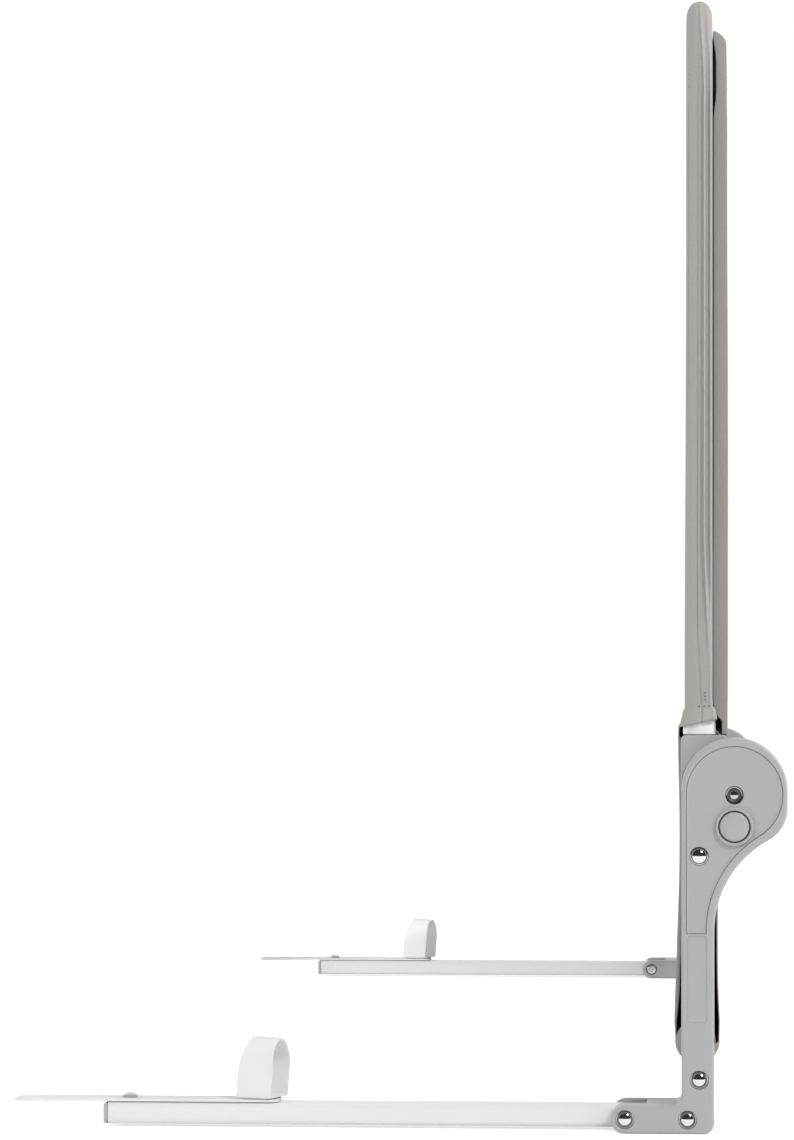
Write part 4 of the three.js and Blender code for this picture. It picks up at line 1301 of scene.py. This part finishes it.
def strap_loop(side):
    """The webbing loop that stands on the arm."""
    skin = Skin()
    path = loop_centreline()
    spin_cos, spin_sin = math.cos(LOOP_TURN), math.sin(LOOP_TURN) * INWARDS[side]
    loops = []
    for (across, z), (outward, up) in zip(path, loop_normals(path)):
        ring = []
        lean = LOOP_LEAN * (z / LOOP_HEIGHT) ** 1.5
        twist = LOOP_TWIST * (2 * smooth(z, LOOP_TWIST_START, LOOP_HEIGHT) - 1) * INWARDS[side]
        widths = [LOOP_WIDTH * (j / LOOP_ACROSS - 0.5) for j in range(LOOP_ACROSS + 1)]
        for sign, row in ((1, widths), (-1, list(reversed(widths)))):
            for u in row:
                edge = abs(2 * u / LOOP_WIDTH) ** 8
                lift = sign * (LOOP_BAND / 2 - BAND_EDGE * edge)
                v = across + outward * lift + u * math.sin(twist)
                u_turned = u * math.cos(twist)
                ring.append(at_end(
                    side, TOE_X - LOOP_STOP + lean + u_turned * spin_cos - v * spin_sin,
                    ARM_MIDDLE + u_turned * spin_sin + v * spin_cos, ON_STRIP + z + up * lift,
                ))
        loops.append(skin.loop(ring))
    skin.walls(loops)
    skin.wall(loops[-1], loops[0])
    return skin.piece(f"{side}_webbing_loop", WEBBING)


for side in SIDES:
    band = place_piece(strap_loop(side), f"{side}_arm", "white_webbing", f"{side}_strap_loop")
    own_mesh(band)

# %% [markdown]
# The white ferrule shows between the hem and the knuckle. The cross bar is a plain steel tube deep inside
# the lower cover. Both are turned about straight axes.

# %% Ferrules and cross bar
FERRULE_LOW, FERRULE_HIGH = (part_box("left_ferrule")[0].z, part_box("left_ferrule")[1].z)
FERRULE_PROFILE = (
    (0.00595, 0), (0.0073, 0), (0.0076, 0.0003), (0.0076, 0.0072), (0.0070, 0.0102), (0.0063, 0.0124),
    (0.0060, 0.0127), (0.00595, 0.0127), (0.00595, 0),
)
BAR_SIDES = 56
BAR_RADIUS = 0.0094
BAR_BORE = 0.0085
BAR_SWAGE = 0.0085


def ferrule(side):
    """The collar round the foot of the frame tube."""
    skin = Skin()
    loops = []
    for radius, rise in FERRULE_PROFILE:
        ring = circle(TUBE.x - PIVOT.x, ARM_MIDDLE, radius, TURNED_SIDES)
        loops.append(skin.loop([at_end(side, u, v, FERRULE_LOW + rise) for u, v in ring]))
    skin.walls(loops)
    return skin.piece(f"{side}_foot_ferrule", WHITE_PAINT)


def cross_bar():
    """The lower tube, open at both ends, with its ends swaged in over the spigots."""
    low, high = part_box("cross_bar")
    tip, bore = (BAR_BORE + 0.0001, BAR_BORE - 0.0002)
    profile = [
        (BAR_BORE, low.y), (tip, low.y), (BAR_RADIUS, low.y + BAR_SWAGE), (BAR_RADIUS, high.y - BAR_SWAGE),
        (tip, high.y), (BAR_BORE, high.y), (bore, high.y - BAR_SWAGE), (bore, low.y + BAR_SWAGE),
        (BAR_BORE, low.y),
    ]
    skin = Skin()
    rings = [(circle(0, 0, radius, BAR_SIDES), y) for radius, y in profile]
    skin.walls([skin.loop([Vector((BAR.x + x, y, BAR.z + z)) for x, z in ring]) for ring, y in rings])
    return skin.piece("lower_cross_tube", ZINC)


for side in SIDES:
    place_piece(ferrule(side), "panel", "white_paint", f"{side}_ferrule")
place_piece(cross_bar(), "root", "zinc_steel", "cross_bar")
print("ferrules from", round(FERRULE_LOW, 4), "to", round(FERRULE_HIGH, 4))

# %% [markdown]
# The cover is one long bag of cloth. Above the fold it is drawn over the arched frame like a pillowcase,
# and below the fold the same cloth hangs round the lower cross bar. At the brackets it is cut away in a
# flared hem.
#
# It is modelled as two sheets of square cells, joined along the arch by a sleeve whose cross-section
# follows the photograph: a flat bed side, a seam down the end, a standing ridge, and the edge towards the
# outer leaf. A sheet made of cells can be moved point by point, so tension folds, sag and the flare at the
# hem are simple height functions.

# %% Cover sizes and cloth helpers
SLEEVE = 0.0062
SLEEVE_WIDENING = 0.0007
SLEEVE_REACH = 0.0063
DOME_REACH = 0.0090
TUBE_X = TUBE.x
TUBE_END = OUTER_FACE["right"] - ARM_MIDDLE
ARCH_TOP = cad_high.z - DOME_REACH
BEND = 0.050
HEM_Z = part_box("upper_cover")[0].z
NOTCH_END = OUTER_FACE["right"] - 0.0395
COVER_WALL = 0.00055
BEND_STEPS = 18
NOTCH_HEM = 0.0007
MIDDLE_COLUMNS = 106


def creases(y, z, size, seed):
    """A smooth wander between about -1 and 1, the same in each run."""
    return noise.noise(Vector((y / size + seed, z / size - seed, seed * 0.37))) * 1.6


def piecewise(value, table):
    """A value read from a table of (place, value) pairs, with soft steps between them."""
    for (start, first), (end, second) in zip(table, table[1:]):
        if value <= end:
            return first + (second - first) * smooth(value, start, end)
    return table[-1][1]


def cloth_columns(end, bend, notch, count):
    """Places along the rail: close together in the two bends, with two at each side of the notch."""
    corner = [end - bend + bend * math.sin(QUARTER * k / BEND_STEPS) for k in range(BEND_STEPS + 1)]
    half = sorted([*corner, notch, notch + NOTCH_HEM])
    flat = [(end - bend) * (2 * k / count - 1) for k in range(1, count)]
    return [-y for y in reversed(half)] + flat + half


def column_top(y, end, bend, top):
    """The arch's height above a place along the rail."""
    beyond = abs(y) - (end - bend)
    if beyond <= 0:
        return top
    return top - bend + math.sqrt(max(0.0, bend ** 2 - beyond ** 2))


print("cover from", round(HEM_Z, 4), "to", round(cad_high.z, 4), "tube axis at", round(TUBE_END, 4))

# %% [markdown]
# The bag is built in one go. Its rows start at the hem, where they are level and close together, and
# stretch towards the arch. The outline of both sheets, up the left side, over the top and down the right
# side, carries the sleeve. Below the hem the cloth between the brackets goes on as a sling, and its ends
# are turned in as a lip.

# %% Cover
SHEET_ROWS = 72
LEVEL_ROWS = 26
LEVEL_STEP = 0.0011
SEAM_X = -0.0007
HEM_SLANT = 0.0034
STITCH_Z = HEM_Z + 0.0092
HEM_FOLD = 0.00035
HEM_FLARE = ((0, 0.0027), (0.0027, 0.0014), (0.0068, 0.0006), (0.0088, 0.0001), (0.0105, 0.0))
OUTER_FLARE = 0.0018
SLEEVE_MARKS = (
    -1.0, -0.992, -0.965, -0.92, -0.85, -0.75, -0.62, -0.48, -0.36, -0.29, -0.24, -0.215, -0.19, -0.165,
    -0.14, -0.1, -0.05, 0.0, 0.04, 0.08, 0.12, 0.16, 0.2, 0.24, 0.28, 0.32, 0.36, 0.39, 0.42, 0.45, 0.48,
    0.51, 0.55, 0.6, 0.66, 0.74, 0.81, 0.87, 0.92, 0.965, 0.992, 1.0,
)
SLING = (
    (0.0077, 0.0), (0.0079, -0.0018), (0.0082, -0.0038), (0.0103, -0.0054), (0.0127, -0.0068),
    (0.0134, -0.0100), (0.0132, -0.0160), (0.0122, -0.0300), (0.0104, -0.0480), (0.0091, -0.0700),
    (0.0088, -0.0900), (0.0090, -0.1200), (0.0098, -0.1400),
)
SLING_BED = (
    (-0.0119, -0.1400), (-0.0113, -0.1200), (-0.0103, -0.0900), (-0.0097, -0.0700), (-0.0096, -0.0450),
    (-0.0099, -0.0200), (-0.0101, -0.0080), (-0.0100, -0.0030),
)
SLING_RADIUS = 0.0106
SLING_WRAP = 0.12
LIP_RINGS = ((0.0009, 0.0), (0.0003, 0.08), (0.0, 0.4), (0.0001, 1.0))
LIP_DEPTH = 0.0009
EVEN_Z = 0.42
SAG = 0.0011
RIPPLE = 0.00035
RIPPLE_SIZE = 0.11
EDGE_SEAM = 0.0135
SEAM_DEPTH = 0.0006
PUCKER = 0.00012
PUCKER_PITCH = 0.011
RIDGE = 0.0015
PIPING = 0.0005
PIPING_SHARE = 0.84
SLEEVE_SEAM = 0.0005
CROWN_CALM = 0.93


def row_height(k, top):
    """The height of a row: level near the hem, and stretched towards the arch."""
    level = HEM_Z + LEVEL_STEP * min(k, LEVEL_ROWS)
    if k <= LEVEL_ROWS:
        return level
    return level + (top - level) * (k - LEVEL_ROWS) / (SHEET_ROWS - LEVEL_ROWS)


def half_width(side_sign, z):
    """Half the bag's thickness at a height: a little wider towards the hem on the bed side."""
    if side_sign > 0:
        return SLEEVE
    return SLEEVE + SLEEVE_WIDENING * (1 - smooth(z, HEM_Z, EVEN_Z))


def flare(share, z):
    """How far the hem stands out, at a share across from the bed side (-1) to the outer side (1)."""
    bed = piecewise(z - HEM_Z, HEM_FLARE)
    outer = OUTER_FLARE * (1 - smooth(z, HEM_Z, HEM_Z + 0.014))
    return bed + (outer - bed) * (share + 1) / 2


def hem_lift(share, z):
    """The hem's lower edge rises towards the outer side."""
    return (1 - smooth(z, HEM_Z, HEM_Z + 0.012)) * HEM_SLANT * (share + 1) / 2


def hem_fold(share, z):
    """The hem is folded double below its stitches, which dip a little towards the bed side."""
    line = STITCH_Z - 0.0016 * bell(share, -0.75, 0.3)
    return HEM_FOLD * (1 - smooth(z, line - 0.0010, line + 0.0002)) - 0.00018 * bell(z, line + 0.0008, 0.0009)


def sheet_point(y, z, side_sign, top):
    """A point of the bed side (-1) or outer side (1) sheet."""
    from_edge = min(TUBE_END - abs(y), max(0.0, top - z))
    inside = smooth(from_edge, 0.0, 0.05)
    sag = SAG * inside * smooth(z, HEM_Z, HEM_Z + 0.08)
    ripple = RIPPLE * inside * creases(y, z, RIPPLE_SIZE, 2.0 + side_sign)
    above = smooth(z, HEM_Z + 0.012, HEM_Z + 0.03)
    seam = SEAM_DEPTH * bell(from_edge, EDGE_SEAM, 0.0016) * above
    wave = math.sin((y + z) * 2 * math.pi / PUCKER_PITCH)
    pucker = PUCKER * wave * bell(from_edge, EDGE_SEAM, 0.006) * above
    level = half_width(side_sign, z) - sag - ripple - seam + pucker
    outward = level + flare(side_sign, z) + hem_fold(side_sign, z)
    return Vector((TUBE_X + side_sign * outward, y, z + hem_lift(side_sign, z)))


def tooth(value, crest, rise, fall):
    """A soft ridge of height 1 that rises before its crest and falls after it."""
    return smooth(value, crest - rise, crest) * (1 - smooth(value, crest, crest + fall))


def ridge_share(z):
    """Where the sleeve's ridge runs: near the seam at the top, out to the edge low down."""
    high = 0.36 - 0.3 * smooth(z, 0.485, 0.535)
    return high + 0.46 * (1 - smooth(z, 0.2, 0.285))


def sleeve_reach(share, z, upwards):
    """How far the sleeve stands out past the sheets' edge, at a share across it."""
    power = 3.4 - 1.15 * upwards if share < 0 else 7.0 - 4.75 * upwards
    body = (SLEEVE_REACH + (DOME_REACH - SLEEVE_REACH) * upwards) * (1 - abs(share) ** power) ** (1 / power)
    place = ridge_share(z)
    standing = smooth(z, 0.205, 0.26)
    ridge = RIDGE * tooth(share, place, 0.14, 0.12) * standing
    hollow = (0.0004 * bell(share, place - 0.17, 0.1) + 0.0012 * bell(share, place + 0.28, 0.15)) * standing
    seam = SLEEVE_SEAM * bell(share, SEAM_X / SLEEVE + 0.28 * (1 - smooth(z, 0.2, 0.24)), 0.04)
    piping = PIPING * tooth(share, PIPING_SHARE, 0.12, 0.1)
    return body + (ridge - hollow) * (1 - CROWN_CALM * upwards) + (piping - seam) * (1 - upwards)


def sleeve_point(share, y, z, out_y, out_z, first, last):
    """A point across the sleeve, between the bed side sheet's edge and the outer one's."""
    height = z + 0.008 * out_z
    wander = 0.0001 * creases(y + share * 0.02, z, 0.03, 5.0)
    level = out_z == 0
    round_share = math.sqrt(max(0.0, 1 - share ** 2))
    swell = (flare(share, z) * 1.25 + hem_fold(share, z)) * round_share if level else 0.0
    reach = sleeve_reach(share, height, out_z) + wander * (1 - share ** 2) + swell
    foot = first.lerp(last, (share + 1) / 2)
    lifted = z + hem_lift(share, z) if level else foot.z
    return Vector((foot.x, foot.y + out_y * reach, lifted + out_z * reach))


def curve_through(points, steps):
    """A smooth curve through points, with several steps between each two."""
    ends = [points[0], *points, points[-1]]
    found = []
    for a, b, c, d in zip(ends, ends[1:], ends[2:], ends[3:]):
        for k in range(steps):
            t = k / steps
            point = []
            for p, q, r, s in zip(a, b, c, d):
                square, cube = (2 * p - 5 * q + 4 * r - s, 3 * q - p - 3 * r + s)
                point.append(0.5 * (2 * q + (r - p) * t + square * t * t + cube * t ** 3))
            found.append(tuple(point))
    found.append(points[-1])
    return found


def sling_path():
    """(x from the tube's axis, z from the hem) down the outer side, round the bar and up the bed side."""
    bar_x, bar_z = (BAR.x - TUBE_X, BAR.z - HEM_Z)
    round_bar = arc(bar_x, bar_z, SLING_RADIUS, SLING_WRAP, -math.pi - SLING_WRAP, 22)
    return [*curve_through(SLING, 3), *round_bar, *curve_through(SLING_BED, 3)]


def lip_width(x, z):
    """How far the sling's end is turned in: wide beside the leaf and at the foot of the outer side."""
    bed = 0.0015 * (1 - smooth(x, -0.006, 0.0)) * smooth(z, -0.15, -0.125)
    outer = smooth(x, 0.0, 0.005) * (0.0003 * smooth(z, -0.15, -0.1) + 0.0018 * smooth(z, -0.10, -0.03))
    foot = 0.0028 * smooth(x, 0.0, 0.005) * (1 - smooth(z, -0.152, -0.1495))
    return 0.0006 + bed + outer + foot


def cover_skin():
    """The whole cover as one surface of cells."""
    skin = Skin()
    columns = cloth_columns(TUBE_END, BEND, NOTCH_END, MIDDLE_COLUMNS)
    tops = [column_top(y, TUBE_END, BEND, ARCH_TOP) for y in columns]
    grids = {}
    for side_sign in (-1, 1):
        grids[side_sign] = [
            skin.loop([sheet_point(y, row_height(k, top), side_sign, top) for k in range(SHEET_ROWS + 1)])
            for y, top in zip(columns, tops)
        ]
        for first, second in zip(grids[side_sign], grids[side_sign][1:]):
            skin.wall(first, second, closed=False)

    last_column, last_row = (len(columns) - 1, SHEET_ROWS)
    edge = [(0, k) for k in range(last_row)]
    edge += [(j, last_row) for j in range(last_column + 1)]
    edge += [(last_column, k) for k in reversed(range(last_row))]
    rings = []
    for j, k in edge:
        y, top = (columns[j], tops[j])
        z = row_height(k, top)
        out_y, out_z = (math.copysign(1, y), 0)
        if k == last_row:
            turn_y = max(0.0, abs(y) - (TUBE_END - BEND)) / BEND
            out_y, out_z = (math.copysign(turn_y, y), math.sqrt(max(0.0, 1 - turn_y ** 2)))
        first, last = (skin.points[grids[-1][j][k]], skin.points[grids[1][j][k]])
        points = [sleeve_point(share, y, z, out_y, out_z, first, last) for share in SLEEVE_MARKS]
        rings.append(skin.loop(points))
    skin.walls(rings, closed=False)

    held = [j for j, y in enumerate(columns) if abs(y) <= NOTCH_END + WELD]
    path = sling_path()
    hung = []
    for j in held:
        y = columns[j]
        start, end = (skin.points[grids[1][j][0]], skin.points[grids[-1][j][0]])
        points = [start]
        for x, z in path[1:-1]:
            loose = smooth(-z, 0.012, 0.05) * (1 - smooth(-z, 0.11, 0.135))
            drift = 0.0005 * creases(y, z * 0.7, 0.13, 8.0) * loose
            points.append(Vector((TUBE_X + x + drift, y, HEM_Z + z)))
        hung.append(skin.loop([*points, end]))
    skin.walls(hung, closed=False)
    for ring in (hung[0], hung[-1]):
        add_lip(skin, ring)
    return skin


def add_lip(skin, ring):
    """Turns the sling's end in, as a folded hem."""
    points = [skin.points[n] for n in ring]
    inwards = [Vector((0, 0, 0))]
    for before, after in zip(points, points[2:]):
        along = (after - before).normalized()
        inwards.append(Vector((along.z, 0, -along.x)))
    inwards.append(Vector((0, 0, 0)))
    y = points[0].y
    lips = [ring]
    count = len(points)
    for back, share in LIP_RINGS:
        lip = []
        for k, (point, inward) in enumerate(zip(points, inwards)):
            fade = smooth(k, 0, 5) * smooth(count - 1 - k, 0, 3)
            width = lip_width(point.x - TUBE_X, point.z - HEM_Z) * share * fade
            moved = point + inward * width
            moved.y = y + math.copysign(LIP_DEPTH - back, y) * fade
            lip.append(moved)
        lips.append(skin.loop(lip))
    skin.walls(lips, closed=False)


cover = cover_skin().piece("fabric_cover", GREY_FABRIC, weighted=False)
wall = cover.modifiers.new("cloth_thickness", "SOLIDIFY")
wall.thickness = COVER_WALL
wall.offset = -1
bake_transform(cover)
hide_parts("upper_cover", "lower_cover")

# %% [markdown]
# The outer leaf is a thin padded panel that hangs on the outer side of the bag. It is sewn on low down and
# stands off a little near its top corners, which leaves the dark slit seen from the end. Its outer sheet is
# cut smaller than its inner one, so its edge slants back like a shoulder. It is a closed skin: two sheets
# with a crown of padding between them, and a rounded edge all the way round.

# %% Outer leaf
LEAF_SETBACK = 0.0035
TOP_SETBACK = 0.0145
LEAF_HALF = TUBE_END + SLEEVE_REACH - LEAF_SETBACK
LEAF_TOP = cad_high.z - TOP_SETBACK
LEAF_SHOULDER = 0.0058
LEAF_FACE = 0.0133
LEAF_ROWS = 66
SHOULDER_POWER = 1.5
SHOULDER_STEPS = 12
SLIT_DEPTH = 0.012
SLIT_GAP = 0.0013
SLIT_HAIR = 0.0003
LEAF_HEM = 0.00265
LEAF_DROP = 0.0045
KNUCKLE_RISE = 0.0012
SCALLOP_RISE = 0.0037
TOPSTITCH = 0.0098
CHANNEL = 0.0010
PUFF = 0.0007
LEAF_RIPPLE = 0.0003
LEAF_PUCKER = 0.00005
LEAF_PUCKER_PITCH = 0.0085


def leaf_bottom(y):
    """The leaf ends just above the knuckles at the brackets, and runs on a little lower between them.
    A scallop leaves room for the neck of the inner moulding when the panel is folded down."""
    away = abs(y)
    face, back = (OUTER_FACE["right"] - BRACKET_DEPTH, OUTER_FACE["right"] - SLOT_END)
    start, end = (smooth(away, face - 0.0055, face - 0.002), smooth(away, back + 0.0025, back + 0.005))
    scallop = start * (1 - end)
    rise = KNUCKLE_RISE * smooth(away, NOTCH_END, NOTCH_END + 0.0006)
    return HEM_Z - LEAF_DROP + rise + SCALLOP_RISE * scallop


def leaf_front(y, z, from_edge):
    """The leaf's outer face: flat, with a stitched channel near its edge and a low crown of padding."""
    puff = PUFF * smooth(from_edge, 0.012, 0.05)
    channel = CHANNEL * bell(from_edge, TOPSTITCH - LEAF_SHOULDER, 0.0013)
    ripple = LEAF_RIPPLE * creases(y, z, 0.09, 11.0) * smooth(from_edge, 0.005, 0.04)
    wave = math.sin((y + z) * 2 * math.pi / LEAF_PUCKER_PITCH)
    pucker = LEAF_PUCKER * wave * bell(from_edge, TOPSTITCH - LEAF_SHOULDER, 0.004)
    return LEAF_FACE - 0.0004 + puff - channel + ripple + pucker


def leaf_back(y, z):
    """The leaf's inner face: on the bag, but off it at the slit, and thin where its foot is sewn down."""
    from_edge = min(LEAF_HALF - abs(y), column_top(y, LEAF_HALF, BEND, LEAF_TOP) - z)
    near_end = (1 - smooth(from_edge, SLIT_DEPTH * 0.6, SLIT_DEPTH)) * smooth(abs(y), 0.40, 0.44)
    wide = smooth(z, 0.474, 0.488) * (1 - smooth(z, 0.503, 0.519))
    slit = (SLIT_GAP * wide + SLIT_HAIR * smooth(z, 0.25, 0.30)) * near_end
    resting = sheet_point(y, z, 1, column_top(y, TUBE_END, BEND, ARCH_TOP)).x - TUBE_X
    sewn_line = -0.0003 * bell(from_edge, 0.020, 0.004)
    clear = resting + 0.0002 + sewn_line + slit
    low = 1 - smooth(z, HEM_Z + 0.0034, HEM_Z + 0.0060)
    return clear + (LEAF_FACE - LEAF_HEM - clear) * low


def leaf_edges(inset):
    """The end, the bend and the top of the leaf, drawn in by an inset."""
    return LEAF_HALF - inset, BEND - inset, LEAF_TOP - inset


def leaf_grid(skin, sign):
    """One sheet of the leaf, a loop of points for each column."""
    end, bend, top_z = leaf_edges(LEAF_SHOULDER if sign > 0 else 0.0)
    grid = []
    for y in cloth_columns(end, bend, NOTCH_END, MIDDLE_COLUMNS):
        top = column_top(y, end, bend, top_z)
        bottom = leaf_bottom(y)
        column = []
        for k in range(LEAF_ROWS + 1):
            z = bottom + (top - bottom) * (k / LEAF_ROWS) ** 1.25
            x = leaf_front(y, z, min(end - abs(y), top - z)) if sign > 0 else leaf_back(y, z)
            column.append(Vector((TUBE_X + x, y, z)))
        grid.append(skin.loop(column))
    for first, second in zip(grid, grid[1:]):
        skin.wall(first, second, closed=False)
    return grid


def leaf_outline(grid):
    """The numbers of the points round a sheet."""
    last = len(grid) - 1
    return [
        *[grid[0][k] for k in range(LEAF_ROWS)],
        *[grid[j][LEAF_ROWS] for j in range(last)],
        *[grid[last][k] for k in range(LEAF_ROWS, 0, -1)],
        *[grid[j][0] for j in range(last, 0, -1)],
    ]


def leaf_skin():
    """The padded leaf as a closed skin, with a convex shoulder between its two sheets."""
    skin = Skin()
    back_ring, front_ring = (leaf_outline(leaf_grid(skin, sign)) for sign in (-1, 1))
    loops = []
    for step in range(SHOULDER_STEPS + 1):
        turn = QUARTER * step / SHOULDER_STEPS
        outward = math.cos(turn) ** (2 / SHOULDER_POWER)
        forward = math.sin(turn) ** (2 / SHOULDER_POWER)
        ring = []
        for back, front in zip(back_ring, front_ring):
            a, b = (skin.points[back], skin.points[front])
            x = a.x + (b.x - a.x) * forward
            ring.append(Vector((x, b.y + (a.y - b.y) * outward, b.z + (a.z - b.z) * outward)))
        loops.append(skin.loop(ring))
    skin.walls(loops)
    return skin


# The leaf wears the darker copy of the cover's cloth, whose darkness is painted shade.
leaf = place_piece(leaf_skin().piece("outer_leaf", SHADED_LEAF_FABRIC, weighted=False), "panel", "grey_fabric")
print(leaf.name, len(leaf.data.polygons), "faces")

# %% [markdown]
# Thread is what makes cloth read as sewn. Each stitch is a short bowed capsule that sinks at both ends. A
# row of them goes round the leaf, and at each end of the bag a few close the hem and the foot of the ridge.

# %% Stitches
THREAD_RADIUS = 0.00021
THREAD_SIDES = 6
STITCH_SHAPE = ((-1.0, 0.2), (-0.82, 0.8), (-0.4, 1.0), (0.0, 1.0), (0.4, 1.0), (0.82, 0.8), (1.0, 0.2))
STITCH_PITCH = 0.0038
STITCH_LENGTH = 0.0026
STITCH_SINK = 0.00013
FIRST_STITCH = 0.004
HEM_STITCH = (0.0009, 0.00028)
RIDGE_STITCH = (0.0008, 0.00024)
HEM_SHARES = (0.0, 0.36, 0.7, 0.96)
RIDGE_SHARE = 0.46
RIDGE_HEIGHTS = (0.2020, 0.2036, 0.2052)


def add_stitch(skin, middle_point, along, outward, length, radius=THREAD_RADIUS):
    """A short bowed thread at a point of the cloth, as long as the length and as thick as the radius."""
    across = along.cross(outward).normalized()
    loops = []
    for place, share in STITCH_SHAPE:
        centre = middle_point + along * (place * length / 2) + outward * (radius * (0.7 - 1.5 * place ** 4))
        ring = []
        for k in range(THREAD_SIDES):
            turn = 2 * math.pi * k / THREAD_SIDES
            ring.append(centre + (across * math.cos(turn) + outward * math.sin(turn)) * radius * share)
        loops.append(skin.loop(ring))
    skin.solid(loops)


def leaf_surface(y, z):
    """A point of the leaf's outer face."""
    end, bend, top_z = leaf_edges(LEAF_SHOULDER)
    from_edge = min(end - abs(y), column_top(y, end, bend, top_z) - z)
    return Vector((TUBE_X + leaf_front(y, z, from_edge), y, z))


def leaf_stitches():
    """The row of stitches round the leaf."""
    end, bend, top = leaf_edges(TOPSTITCH)
    corner = arc(end - bend, top - bend, bend, 0, QUARTER, round(bend * QUARTER / STITCH_PITCH))
    upright = top - bend - HEM_Z - FIRST_STITCH
    up = round(upright / STITCH_PITCH)
    row = [(end, HEM_Z + FIRST_STITCH + upright * k / up) for k in range(up)] + corner
    over = round((end - bend) / STITCH_PITCH)
    row += [((end - bend) * (1 - k / over), top) for k in range(1, over + 1)]
    skin = Skin()
    for (y1, z1), (y2, z2) in zip(row, row[1:]):
        for mirror in (-1, 1):
            first, second = (leaf_surface(y1 * mirror, z1), leaf_surface(y2 * mirror, z2))
            along = (second - first).normalized()
            point = (first + second) / 2 - Vector((STITCH_SINK, 0, 0))
            add_stitch(skin, point, along, Vector((1, 0, 0)), STITCH_LENGTH)
    return skin


def sleeve_surface(share, side, z):
    """A point of the cover's sleeve at an end of the bag."""
    y = TUBE_END * (1 if side == "right" else -1)
    first, last = (sheet_point(y, z, sign, ARCH_TOP - BEND) for sign in (-1, 1))
    return sleeve_point(share, y, z, math.copysign(1, y), 0, first, last)


def hem_stitches(side):
    """The stitches that close the hem and the foot of the ridge at one end."""
    skin = Skin()
    outward = Vector((0, -INWARDS[side], 0))
    for share in HEM_SHARES:
        point = sleeve_surface(share, side, STITCH_Z + 0.0001)
        add_stitch(skin, point, Vector((1, 0, 0)), outward, *HEM_STITCH)
    for z in RIDGE_HEIGHTS:
        point = sleeve_surface(RIDGE_SHARE, side, z)
        add_stitch(skin, point, Vector((0, 0, 1)), outward, *RIDGE_STITCH)
    return skin


seam = leaf_stitches().piece("leaf_topstitch", GREY_THREAD, weighted=False)
place_piece(seam, "panel", "grey_fabric")
print(seam.name, len(seam.data.polygons), "faces")
for side in SIDES:
    row = hem_stitches(side).piece(f"{side}_hem_stitches", DARK_THREAD, weighted=False)
    place_piece(row, "panel", "grey_fabric")
    print(row.name, len(row.data.polygons), "faces")
